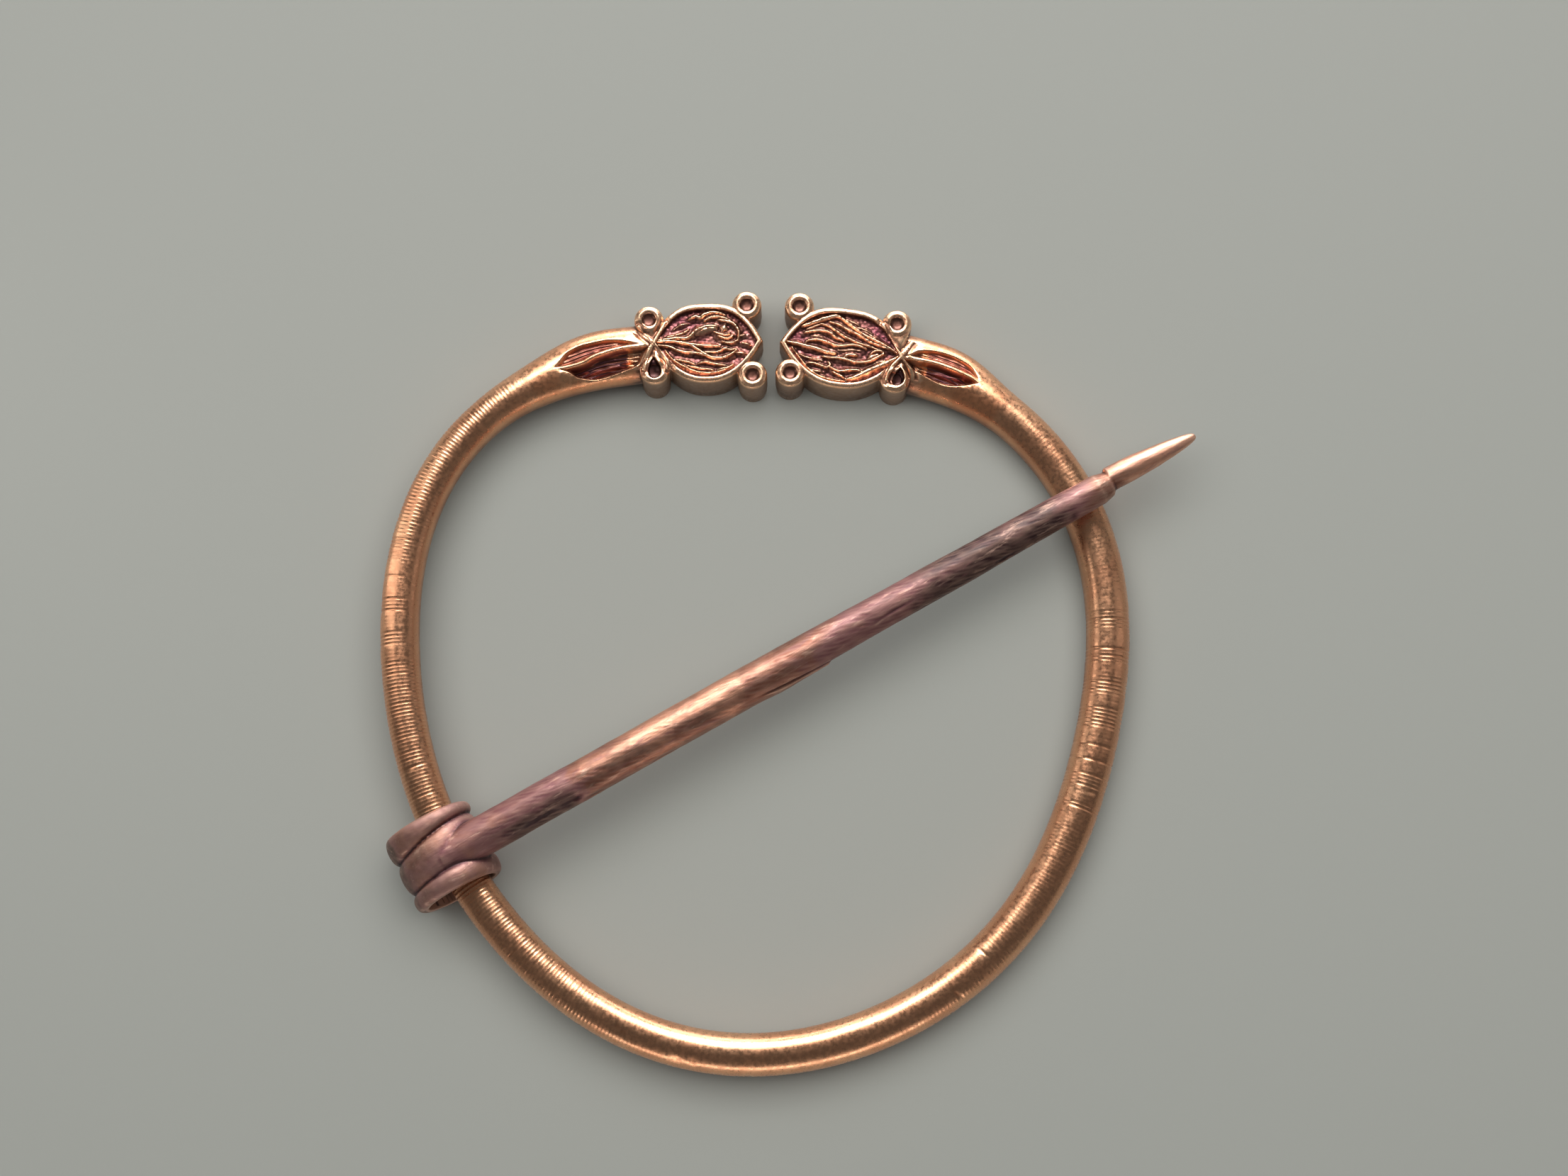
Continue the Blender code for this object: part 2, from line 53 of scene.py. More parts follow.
hoop = {
    "radius": 33.6,
    "lobes": ((2, 0.34, -67), (3, 1.4, 30), (4, 0.5, -44), (5, 0.1, -15), (6, 0.13, 18)),
    "wire": 3.9, "uneven": 0.2, "thickSide": 350,  # the wire is a little thicker on one side
    "gap": 87.2, "tipGap": 1.7,
    "front": 2.2, "back": 2.7,                     # heights of the heads over and under the middle plane
    "neckStep": 0.08, "neckFullness": 0.5,
    "skin": 0.015,                                 # the ribs' crests stay this far inside the true wire
    # place round the hoop, outwards from its middle line, turn, half length, half width, depth
    "dents": ((251, 0.7, 8, 0.9, 0.12, 0.09), (249.5, 0.3, 14, 0.6, 0.1, 0.07), (259, 1.3, 0, 0.5, 0.35, 0.1),
              (261.5, 1.1, 0, 0.4, 0.3, 0.08), (302, 0.9, 60, 0.5, 0.16, 0.09), (309, -0.4, 75, 0.6, 0.12, 0.07),
              (285, 0.2, 0, 1.6, 0.7, 0.04), (238, -0.5, 0, 1.8, 0.6, 0.05), (196, 0.5, 80, 0.8, 0.12, 0.06),
              (340, 0.6, 85, 0.7, 0.12, 0.07), (222, 0.9, 20, 0.7, 0.2, 0.06)),
}

leftHead = {
    "side": 1, "length": 10.1, "outWidth": 3.5, "inWidth": 3.7, "lift": 0.4,
    "neckWidth": 5.7, "neckLength": 18.0, "leafLength": 9.7, "join": 12.2,
    "tipBosses": ((1.9, 0.55), (1.75, 0.3)),       # how far back from the tip, how far it bites in
    "waistBosses": ((-0.4, 2.3), (0.1, -2.7)),
}

rightHead = {
    "side": -1, "length": 11.36, "outWidth": 3.8, "inWidth": 3.5, "lift": -0.08,
    "neckWidth": 5.5, "neckLength": 12.5, "leafLength": 8.2, "join": 10.6,
    "tipBosses": ((1.95, 0.42), (1.8, 0.6)),
    "waistBosses": ((0.85, 3.2), (0.4, -2.2)),
}

heads = (leftHead, rightHead)


# Small tools
def addMesh(name, points, faces):
    mesh = bpy.data.meshes.new(name)
    mesh.from_pydata([tuple(p) for p in points], [], faces)
    mesh.update()
    item = bpy.data.objects.new(name, mesh)
    bpy.context.scene.collection.objects.link(item)
    return item


def drop(item):
    mesh = item.data
    bpy.data.objects.remove(item, do_unlink=True)
    bpy.data.meshes.remove(mesh)


def faceOutwards(item, weld=0.0005):
    work = bmesh.new()
    work.from_mesh(item.data)
    bmesh.ops.remove_doubles(work, verts=work.verts, dist=weld)
    bmesh.ops.recalc_face_normals(work, faces=work.faces)
    if work.calc_volume(signed=True) < 0:
        bmesh.ops.reverse_faces(work, faces=work.faces)
    work.to_mesh(item.data)
    work.free()


def loft(name, sections):
    # skin through rings of equally many points, closed at both ends
    count = len(sections[0])
    rows = len(sections)
    faces = []
    for k in range(rows - 1):
        for j in range(count):
            a = k * count + j
            b = k * count + (j + 1) % count
            faces.append((a, b, b + count, a + count))
    faces.append(tuple(range(count))[::-1])
    faces.append(tuple(range((rows - 1) * count, rows * count)))
    item = addMesh(name, [p for ring in sections for p in ring], faces)
    faceOutwards(item)
    return item


def settle(item):
    # the evaluated mesh with every modifier applied
    graph = bpy.context.evaluated_depsgraph_get()
    mesh = bpy.data.meshes.new_from_object(item.evaluated_get(graph))
    item.modifiers.clear()
    old = item.data
    item.data = mesh
    mesh.name = item.name
    bpy.data.meshes.remove(old)


def combine(target, others, kind):
    for other in others:
        step = target.modifiers.new(kind, "BOOLEAN")
        step.operation = kind
        step.solver = "MANIFOLD"
        step.object = other
        settle(target)
        drop(other)


def remesh(item, size):
    step = item.modifiers.new("remesh", "REMESH")
    step.mode = "VOXEL"
    step.voxel_size = size
    step.adaptivity = 0
    settle(item)


def soften(item, times, factor):
    step = item.modifiers.new("soften", "SMOOTH")
    step.factor = factor
    step.iterations = times
    settle(item)


def triangleCount(item):
    return sum(len(p.vertices) - 2 for p in item.data.polygons)


def thinOut(item, triangles):
    now = triangleCount(item)
    step = item.modifiers.new("thin", "DECIMATE")
    step.ratio = min(1.0, triangles / now)
    settle(item)
    print("   ", item.name, "thinned from", now, "to", len(item.data.polygons))


def readPoints(mesh):
    flat = np.empty(len(mesh.vertices) * 3)
    mesh.vertices.foreach_get("co", flat)
    return flat.reshape(-1, 3)


def readNormals(mesh):
    flat = np.empty(len(mesh.vertices) * 3)
    mesh.vertices.foreach_get("normal", flat)
    return flat.reshape(-1, 3)


def writePoints(mesh, points):
    mesh.vertices.foreach_set("co", points.ravel())
    mesh.update()


def smoothStep(low, high, value):
    t = np.clip((value - low) / (high - low), 0, 1)
    return t * t * (3 - 2 * t)


def fromTable(table, place):
    places, values = zip(*table)
    return np.interp(place, places, values)


def timeSoFar():
    return f"{time.time() - started:.1f} s"


# Shape of the hoop
def ringRadius(angle):
    total = hoop["radius"] + 0 * np.asarray(angle, float)
    for count, height, peak in hoop["lobes"]:
        total = total + height * np.cos(count * np.radians(angle - peak))
    return total


def ringPoint(angle):
    radius = ringRadius(angle)
    turn = np.radians(angle)
    return np.stack([radius * np.cos(turn), radius * np.sin(turn), 0 * radius], -1)


def ringOut(angle):
    along = ringPoint(angle + 0.05) - ringPoint(angle - 0.05)
    out = np.stack([along[..., 1], -along[..., 0], 0 * along[..., 0]], -1)
    return out / np.linalg.norm(out, axis=-1, keepdims=True)


def waistAngle(head):
    chord = head["length"] + hoop["tipGap"] / 2
    turn = 2 * math.asin(chord / (2 * ringRadius(hoop["gap"])))
    return hoop["gap"] + head["side"] * math.degrees(turn)


for head in heads:
    head["waist"] = waistAngle(head)


def pastGap(angle):
    return hoop["gap"] + (np.asarray(angle, float) - hoop["gap"]) % 360


def angleRound(points):
    return np.degrees(np.arctan2(points[:, 1], points[:, 0]))


def wireEnd(head):
    # angle of a head's waist, on the scale that runs from the gap once round to the gap
    return head["waist"] if head["side"] > 0 else head["waist"] + 360


def fromWaist(head, angle):
    # distance along the wire from a head's waist
    return np.radians((pastGap(angle) - wireEnd(head)) * head["side"]) * hoop["radius"]


def atDistance(head, distance):
    return wireEnd(head) + head["side"] * np.degrees(distance / hoop["radius"])


def neckBulge(angle):
    total = 0 * pastGap(angle)
    for head in heads:
        share = fromWaist(head, angle) / (1.3 * head["leafLength"])
        inside = (share > 0) & (share < 1)
        total = total + np.where(inside, hoop["neckFullness"] * np.sin(np.pi * np.clip(share, 0, 1)) ** 2, 0)
    return total


def wireSize(angle):
    width = hoop["wire"] + hoop["uneven"] * np.cos(np.radians(angle - hoop["thickSide"]))
    depth = width
    for head in heads:
        share = np.clip(fromWaist(head, angle) / head["neckLength"], 0, 1)
        grow = np.cos(np.pi / 2 * share) ** 2
        width = width + grow * (head["neckWidth"] - hoop["wire"])
        depth = depth + grow * (2 * (hoop["front"] - hoop["neckStep"]) - depth)
    return width + neckBulge(angle), depth


def wireSection(angle, sides):
    width, depth = wireSize(angle)
    centre = ringPoint(angle) + ringOut(angle) * neckBulge(angle) / 2
    turn = 2 * np.pi * np.arange(sides) / sides
    across = np.outer(np.cos(turn), ringOut(angle)) * width / 2
    upright = np.outer(np.sin(turn), (0, 0, 1)) * depth / 2
    return centre + across + upright


# Heads
headMake = {
    "voxel": 0.062,
    "rim": 0.2, "shoulder": 0.34, "shoulderDrop": 0.45, "recess": 0.55,
    "fullOut": 3.0, "fullIn": 2.3, "outlineSteps": 48,
    "boss": 2.8, "bossRim": 2.15, "bossProud": 0.06, "eye": 1.45, "eyeDepth": 0.26, "bossSides": 56,
    "neckSides": 72, "neckRows": 70,
    "triangles": 42000,
}


def headPlace(head):
    # local X runs from the waist to the tip and local Y outwards from the hoop
    start = ringPoint(head["waist"]) + ringOut(head["waist"]) * head["lift"]
    aim = ringPoint(hoop["gap"]) - start
    aim = aim / np.linalg.norm(aim)
    across = np.array((-aim[1], aim[0], 0)) * head["side"]
    place = Matrix.Identity(4)
    for row in range(3):
        place[row][0] = aim[row]
        place[row][1] = across[row]
        place[row][3] = start[row]
    return place


def almond(head, grow, height):
    steps = headMake["outlineSteps"]
    length = head["length"]
    full = length / 2 + grow
    ring = []
    for k in range(2 * steps):
        share = -1 + 2 * (k % steps) / steps
        if k < steps:
            y = (head["outWidth"] + grow) * (1 - abs(share) ** headMake["fullOut"])
        else:
            share = -share
            y = -(head["inWidth"] + grow) * (1 - abs(share) ** headMake["fullIn"])
        ring.append(Vector((length / 2 + full * share, y, height)))
    return ring


def besidePlate(head, back, bite, side):
    length = head["length"]
    full = headMake["fullOut"] if side > 0 else headMake["fullIn"]
    wide = head["outWidth"] if side > 0 else head["inWidth"]
    share = 1 - 2 * back / length
    slope = -2 * full * wide * abs(share) ** (full - 1) * math.copysign(1, share) / length
    outwards = Vector((-slope, 1)).normalized()
    edge = Vector((length - back, wide * (1 - abs(share) ** full)))
    centre = edge + outwards * (headMake["shoulder"] + headMake["boss"] / 2 - bite)
    return centre.x, side * centre.y


def drumBody(name, levels, middle, sides, turnBy=0.0):
    sections = []
    for radius, height in levels:
        turn = 2 * np.pi * (np.arange(sides) + turnBy) / sides
        sections.append([Vector((middle[0] + radius * math.cos(t), middle[1] + radius * math.sin(t), height))
                         for t in turn])
    return loft(name, sections)


def bossBody(name, middle, order):
    make = headMake
    radius = make["boss"] / 2
    lip = make["bossRim"] / 2
    top = hoop["front"] + make["bossProud"]
    foot = -(hoop["back"] + 1.1 + 0.09 * order)
    levels = [(radius * 0.9, foot), (radius, -hoop["back"] / 2 - 0.05 * order), (radius, top - 0.55)]
    for k in range(1, 7):
        turn = k / 6 * math.pi / 2
        levels.append((lip + (radius - lip) * math.cos(turn), top - 0.55 + 0.47 * math.sin(turn)))
    levels += [(lip - 0.1, top), (make["eye"] / 2, top - 0.05)]
    return drumBody(name, levels, middle, make["bossSides"])


def eyeCutter(name, middle):
    make = headMake
    radius = make["eye"] / 2
    low = hoop["front"] - make["eyeDepth"]
    levels = ((radius * 0.4, low), (radius * 0.72, low + 0.05), (radius * 0.9, low + 0.16), (radius, low + 0.34),
              (radius * 1.02, hoop["front"] + 1))
    return drumBody(name, levels, middle, make["bossSides"], 0.5)


def webBody(name, middle, order):
    top = hoop["front"] - 0.05 * order
    away = Vector((middle[0], middle[1], 0))
    along = away.normalized()
    across = Vector((-along.y, along.x, 0))
    low = -hoop["back"] + 0.2 * order
    sections = []
    for distance, half in ((-0.3, 0.18), (away.length * 0.45, 0.7),
                           (away.length * 0.8, headMake["boss"] / 2 - 0.28)):
        centre = along * distance
        rim = ((-1, low), (1, low), (1, top - 0.17), (0.6, top), (-0.6, top), (-1, top - 0.17))
        sections.append([centre + across * (half * s) + Vector((0, 0, z)) for s, z in rim])
    return loft(name, sections)


def neckBody(head):
    # from a little past the join with the ribbed wire to a short nose inside the plate
    make = headMake
    sections = []
    for k in range(make["neckRows"] + 1):
        distance = (head["join"] + 0.5) * (1 - k / make["neckRows"])
        sections.append(wireSection(float(atDistance(head, distance)), make["neckSides"]))
    waist = float(atDistance(head, 0.0))
    width, depth = wireSize(waist)
    for past, share in ((0.7, 0.82), (1.6, 0.45)):
        angle = float(atDistance(head, -past))
        turn = 2 * np.pi * np.arange(make["neckSides"]) / make["neckSides"]
        ring = ringPoint(angle) + np.outer(np.cos(turn), ringOut(angle)) * width * share / 2
        ring = ring + np.outer(np.sin(turn), (0, 0, 1)) * depth * (0.35 + 0.45 * share) / 2
        sections.append(ring - np.array((0, 0, make["recess"])))
    return loft("neck", sections)


def headBody(name, head):
    make = headMake
    place = headPlace(head)
    body = neckBody(head)
    body.name = name
    low = -(hoop["back"] + 1)
    shoulder = make["shoulder"]
    top = hoop["front"]
    levels = [(0.4 * shoulder, low), (shoulder, -hoop["back"] / 2), (shoulder, top - make["shoulderDrop"])]
    for k in range(1, 6):
        turn = k / 5 * math.pi / 2
        levels.append((shoulder * math.cos(turn), top - make["shoulderDrop"] * (1 - math.sin(turn))))
    solids = [loft("plate", [almond(head, grow, height) for grow, height in levels])]
    cuts = []
    bosses = [besidePlate(head, back, bite, side) for (back, bite), side in zip(head["tipBosses"], (1, -1))]
    bosses += head["waistBosses"]
    head["bosses"] = bosses
    for order, middle in enumerate(bosses):
        solids.append(bossBody("boss", middle, order))
        cuts.append(eyeCutter("eye", middle))
    for order in (2, 3):
        solids.append(webBody("web", bosses[order], order))
    floor = top - make["recess"]
    rim = -make["rim"]
    levels = ((rim - 0.14, floor), (rim - 0.05, floor + 0.12), (rim, top), (rim, top + 1))
    cuts.append(loft("recess", [almond(head, grow, height) for grow, height in levels]))
    for item in solids + cuts:
        item.data.transform(place)
        faceOutwards(item)
    combine(body, solids, "UNION")
    combine(body, cuts, "DIFFERENCE")
    remesh(body, make["voxel"])
    soften(body, 1, 0.4)
    return body


# Carving of the heads. Every stroke is a raised line: half its width, its height over the sunk
# floor, and the places that it passes, along the plate from the waist and outwards from its middle.
leftCarving = {
    "shift": (0, 0), "broad": 1.35, "bed": 0.62,
    "strokes": (
        (0.17, 0.52, ((0.3, 0.1), (1.55, 0.15), (2.55, 0), (3.6, -0.2), (4.6, -0.35), (5.45, -0.4), (6.3, -0.45))),
        (0.18, 0.52, ((2.55, 0.1), (3.4, -0.2), (4.2, -0.7), (4.8, -1.15), (5.45, -1.5), (6.05, -1.6), (6.65, -1.55),
                      (7.35, -1.25), (7.9, -0.85))),
        (0.16, 0.5, ((0.45, -0.2), (1.55, -0.4), (2.15, -0.7), (2.95, -0.95), (4, -1.05), (4.7, -1.25), (5.45, -1.5))),
        (0.12, 0.42, ((4.4, -0.95), (5.35, -1), (6.15, -0.95), (6.75, -0.65), (7.25, -0.8), (7.85, -0.7))),
        (0.2, 0.5, ((0.3, 0.25), (1.35, 0.35), (2.15, 0.45), (3, 0.4), (3.5, 0.6), (3.9, 1.05), (4.45, 1.35),
                    (5.15, 1.6), (6.1, 1.55))),
        (0.45, 0.36, ((3.9, 0.9), (4.6, 1.2), (5.4, 1.4), (5.9, 1.35))),
        (0.12, 0.45, ((5.8, 1), (6.3, 0.8), (6.8, 0.65), (7.15, 0.75), (7.25, 0.95))),
        (0.12, 0.45, ((6.1, 0.62), (6.4, 0.5), (6.9, 0.35), (7.35, 0.42), (7.6, 0.68))),
        (0.12, 0.45, ((6.5, 0.05), (7.1, -0.12), (7.6, -0.08), (8, 0.12))),
        (0.17, 0.46, ((6.2, 2.2), (6.95, 2.05), (7.55, 1.85), (8, 1.35), (8.15, 0.75), (8, 0.1))),
        (0.48, 0.38, ((6.55, 1.42), (6.85, 1.3))),
        (0.2, 0.45, ((3.4, 2.3), (4.05, 2.6), (4.45, 2.45), (4.9, 2.75), (5.5, 2.95), (6.2, 2.9), (6.85, 2.65))),
        (0.15, 0.45, ((4.85, 2.1), (5.4, 2.4), (6, 2.5), (6.65, 2.4), (7.35, 2.1))),
        (0.09, 0.32, ((8.1, 0.5), (8.4, 0.6), (8.75, 0.7))),
        (0.09, 0.34, ((8.35, -0.1), (8.75, -0.2), (9.2, -0.38))),
        (0.09, 0.34, ((7.5, -1.05), (8.1, -1.12), (8.8, -1.2))),
        (0.11, 0.48, ((1.15, -0.75), (1.6, -1.4), (2.25, -2), (2.95, -2.4), (3.75, -2.8), (4.5, -3), (5.2, -3.05),
                      (6, -2.98), (6.8, -2.75))),
        (0.12, 0.45, ((2, -1.65), (2.75, -1.8), (3.35, -1.95), (3.95, -2.2))),
        (0.13, 0.45, ((3.2, -2.3), (3.85, -2.45), (4.4, -2.6), (5, -2.65), (5.7, -2.8))),
        (0.14, 0.46, ((4.2, -2.1), (4.8, -1.95), (5.3, -2.05), (5.95, -2.2), (7, -2.4))),
        (0.12, 0.42, ((6, -2.75), (6.45, -2.65), (7.05, -2.55), (7.55, -2.25))),
        (0.12, 0.34, ((1.25, 0.6), (2.05, 0.75), (2.8, 0.95), (3.4, 1.3))),
        (0.09, 0.28, ((1.9, 1.3), (2.6, 1.75), (3.3, 1.9))),
    ),
    "crossing": (((-1.45, 1.55), (-0.9, 0.8), (-0.05, 0.1), (0.7, -0.5), (1.2, -1.4), (1.4, -2.5)),
                 ((1.05, 1.9), (0.6, 0.95), (0, 0.05), (-0.4, -0.7), (-0.75, -1.7), (-0.95, -2.6))),
    "tear": ((0, -1.15), (0.35, -1.6), (0.7, -2.3), (0.75, -3), (0.45, -3.45), (0, -3.6), (-0.45, -3.35),
             (-0.65, -2.75), (-0.55, -2), (-0.3, -1.5)),
    # on the neck: along the wire from the waist, and outwards from its middle line
    "ridge": ((0.1, 0.3), (2.4, 0.4), (4.05, 0.35), (5.7, 0.15), (6.9, -0.15), (8.4, -0.1), (9.7, 0.25)),
    "upper": ((0.9, 0.5), (2.3, 1.2), (3.75, 1.65), (5.35, 1.75), (6.55, 1.75), (7.8, 1.45), (8.75, 0.85)),
    "lower": ((1.05, -0.6), (1.95, -1.6), (3.65, -1.95), (5.45, -2.15), (6.8, -2.05), (8.05, -1.45), (8.6, -0.65)),
    "upperDepth": 0.5, "lowerDepth": 0.95,
    "leaf": ((2.2, -0.75), (4, -1.05), (5.6, -1.15), (7, -0.9)),
}

rightCarving = {
    "shift": (-0.42, -0.15), "broad": 1.35, "bed": 0.62,
    "strokes": (
        (0.26, 0.5, ((9.8, 2.0), (8.65, 2.6), (7.7, 3.1), (6.9, 3.4), (6.5, 3.35))),
        (0.17, 0.52, ((6.6, 3.4), (6.15, 3.15), (5.2, 2.55), (4.05, 1.85), (2.95, 1.45), (1.75, 0.95), (0.85, 0.45))),
        (0.13, 0.48, ((7.4, 2.75), (6.55, 2.6), (5.65, 2.2), (4.55, 1.8), (3.5, 1.3), (2.6, 1.02), (1.75, 0.8))),
        (0.13, 0.46, ((8.2, 2.45), (7.35, 2.3), (6.7, 1.95), (6, 1.55), (5.25, 1.25), (4.45, 1), (3.4, 0.8),
                      (2.65, 0.6))),
        (0.15, 0.44, ((9.5, 1.4), (8.9, 1.6), (8.1, 1.8), (7.25, 1.7), (6.6, 1.3), (5.85, 1.05))),
        (0.22, 0.54, ((11.1, 0.28), (10.3, 0.22), (9.35, 0.1), (8.45, 0), (7.85, -0.15), (7.2, -0.25), (6.45, -0.28))),
        (0.15, 0.46, ((9.3, 0.4), (9.1, 0.65), (8.4, 0.85), (7.75, 0.8), (7.1, 0.65), (6.45, 0.5), (5.85, 0.55),
                      (5.15, 0.75), (4.45, 0.75), (3.7, 0.55))),
        (0.14, 0.5, ((7.6, -0.72), (6.9, -0.78), (6.3, -0.7), (5.45, -0.75), (4.7, -0.9), (3.9, -0.85), (3.2, -0.6),
                     (2.6, -0.15), (2.1, 0.3), (2.5, 0.5), (3.05, 0.32), (3.35, -0.1))),
        (0.3, 0.34, ((2.6, 0.15), (3.1, -0.15), (3.4, -0.35))),
        (0.2, 0.4, ((5.65, -0.65), (5.3, -0.25), (4.5, -0.2))),
        (0.1, 0.38, ((9.8, -0.75), (9.05, -1), (8.3, -1.1), (7.55, -1.15))),
        (0.12, 0.42, ((8.95, -1.55), (8.25, -1.5), (7.6, -1.65), (7.1, -1.75), (6.8, -1.45), (7.05, -1.15))),
        (0.1, 0.36, ((8.5, -2.15), (8.15, -2.22), (7.5, -2.25))),
        (0.3, 0.52, ((0.7, 0.15), (1.25, -0.25), (1.8, -0.65), (2.6, -1.15), (3.25, -1.55), (4, -2.1), (4.45, -2.4),
                     (5.05, -2.65))),
        (0.14, 0.46, ((7, -1.6), (6.1, -1.95), (5.5, -1.9), (4.7, -1.7), (4.05, -1.7), (3.7, -1.85))),
        (0.12, 0.44, ((6.5, -2.1), (6.05, -2.3), (5.65, -2.45), (5.1, -2.75))),
        (0.1, 0.38, ((2.9, -0.85), (2.4, -0.6), (1.9, -0.4))),
        (0.08, 0.28, ((5.95, 3.25), (5.2, 3.0), (4.6, 2.75))),
        (0.08, 0.28, ((4.9, 2.6), (4.05, 2.4), (3.3, 2.1))),
        (0.08, 0.3, ((4.1, 2.25), (3.3, 1.85), (2.5, 1.45))),
        (0.1, 0.34, ((9.35, 1.75), (8.8, 2.05), (8.2, 2.4))),
        (0.08, 0.3, ((8.85, 1.15), (8.25, 1.2), (7.75, 1.15))),
        (0.08, 0.3, ((6.3, 0.1), (5.6, 0.15), (5, 0.3), (4.2, 0.3))),
        (0.11, 0.46, ((10.5, -0.2), (9.65, -1.15), (8.9, -1.95), (8.1, -2.5), (7.2, -2.8), (6.15, -2.92),
                      (5.15, -2.85))),
    ),
    "crossing": (((-0.65, 3.15), (-0.5, 2.25), (0, 1.15), (0.45, 0.3), (1.0, -0.6), (1.35, -1.5), (1.5, -2.3)),
                 ((2.45, 3.1), (2.0, 1.9), (1.2, 0.95), (0.45, 0.25), (-0.2, -0.4), (-0.7, -1.3), (-0.8, -2.15))),
    "tear": ((0.45, -0.75), (0.85, -1.3), (1.1, -1.9), (1.05, -2.5), (0.6, -2.8), (0.05, -2.55), (-0.2, -1.95),
             (-0.05, -1.35), (0.25, -0.85)),
    "ridge": ((-0.2, 0), (1.25, 0.15), (2.6, 0.4), (3.95, 0.55), (5.5, 0.65), (6.65, 0.7), (7.7, 0.6)),
    "upper": ((0.35, 0.4), (1.15, 1.2), (2.1, 1.65), (3.4, 1.95), (4.85, 2.0), (6.1, 1.8), (6.9, 1.3)),
    "lower": ((0.1, -0.25), (1.3, -0.95), (2.85, -1.25), (4.3, -1.35), (5.45, -1.15), (6.65, -0.45)),
    "upperDepth": 0.5, "lowerDepth": 0.85,
    "leaf": ((3.2, -0.35), (4.2, -0.3), (5.2, -0.1), (6.2, 0.25)),
}

leftHead["carving"] = leftCarving
rightHead["carving"] = rightCarving


def smoothLine(points, perSpan=5, closed=False):
    # a curve through all the points
    points = np.array(points, float)
    if closed:
        padded = np.vstack([points[-1:], points, points[:2]])
    else:
        padded = np.vstack([2 * points[:1] - points[1:2], points, 2 * points[-1:] - points[-2:-1]])
    line = []
    for k in range(len(padded) - 3):
        a, b, c, d = padded[k:k + 4]
        for t in np.arange(perSpan) / perSpan:
            square, cube = (2 * a - 5 * b + 4 * c - d) * t ** 2, (3 * b - a - 3 * c + d) * t ** 3
            line.append(0.5 * (2 * b + (c - a) * t + square + cube))
    if not closed:
        line.append(points[-1])
    return np.array(line)


def distanceTo(places, line, closed=False):
    # how far each place is from a line, and where along the line its nearest point is
    best = np.full(len(places), 1e9)
    share = np.zeros(len(places))
    ends = np.roll(line, -1, 0) if closed else line[1:]
    count = len(ends)
    for k in range(count):
        a = line[k]
        step = ends[k] - a
        t = np.clip(((places - a) @ step) / max(step @ step, 1e-12), 0, 1)
        gap = np.linalg.norm(places - a - t[:, None] * step, axis=1)
        nearer = gap < best
        best[nearer] = gap[nearer]
        share[nearer] = ((k + t) / count)[nearer]
    return best, share


def insideBy(places, loop):
    # distance from a closed line, positive on the inside
    gap, _ = distanceTo(places, loop, closed=True)
    x, y = places[:, 0], places[:, 1]
    inside = np.zeros(len(places), bool)
    for a, b in zip(loop, np.roll(loop, -1, 0)):
        if a[1] == b[1]:
            continue
        inside ^= ((a[1] > y) != (b[1] > y)) & (x < (b[0] - a[0]) * (y - a[1]) / (b[1] - a[1]) + a[0])
    return np.where(inside, gap, -gap)


def wobble(x, y, size, seed=0.0):
    # soft unevenness between -1 and 1
    x, y = x / size, y / size
    return (np.sin(2.1 * x + 1.3 * y + seed) + np.sin(-1.7 * x + 2.6 * y + 2.3 * seed)
            + np.sin(3.1 * x - 0.9 * y + 4.1 + seed) + np.sin(0.7 * x + 3.4 * y + 1.9 * seed)) / 4


def strokeHeight(places, carving):
    # the carved lines, each thinning out towards both its ends
    height = np.zeros(len(places))
    bed = np.zeros(len(places))
    for half, rise, points in carving["strokes"]:
        line = smoothLine(ontoPlate(points, carving))
        gap, share = distanceTo(places, line)
        swell = 0.55 + 0.45 * np.sin(np.pi * np.clip(share, 0, 1)) ** 0.6
        profile = np.clip(1 - (gap / (carving["broad"] * half * swell)) ** 1.5, 0, 1)
        height = np.maximum(height, rise * (0.75 + 0.25 * swell) * profile ** 0.85)
        bed = np.maximum(bed, rise * carving["bed"] * swell * np.clip(1 - gap / (half + 0.34), 0, 1))
    return np.maximum(height, bed)


def ontoPlate(points, carving):
    # the drawing is moved a little so that both its ends meet the plate's own
    points = np.array(points, float)
    points[:, 0] += carving["shift"][0] * (1 - points[:, 0] / 11)
    points[:, 1] += carving["shift"][1]
    return points


def plateCoordinates(points, head):
    place = headPlace(head)
    start = np.array(place.translation)[:2]
    along = np.array((place[0][0], place[1][0]))
    across = np.array((place[0][1], place[1][1]))
    flat = points[:, :2] - start
    return np.stack([flat @ along, flat @ across], -1)


def neckCoordinates(points, head):
    # along the wire from the waist, and outwards from its middle line
    angle = angleRound(points)
    return np.stack([fromWaist(head, angle), np.hypot(points[:, 0], points[:, 1]) - ringRadius(angle)], -1)


def nearPlate(plate, head, before, beyond, aside):
    return (plate[:, 0] > -before) & (plate[:, 0] < head["length"] + beyond) & (np.abs(plate[:, 1]) < aside)


def recessDepth(places, head):
    # how far inside the sunk floor's edge each place is
    outline = np.array([p.xy for p in almond(head, -headMake["rim"], 0)])
    return insideBy(places, outline[::2])


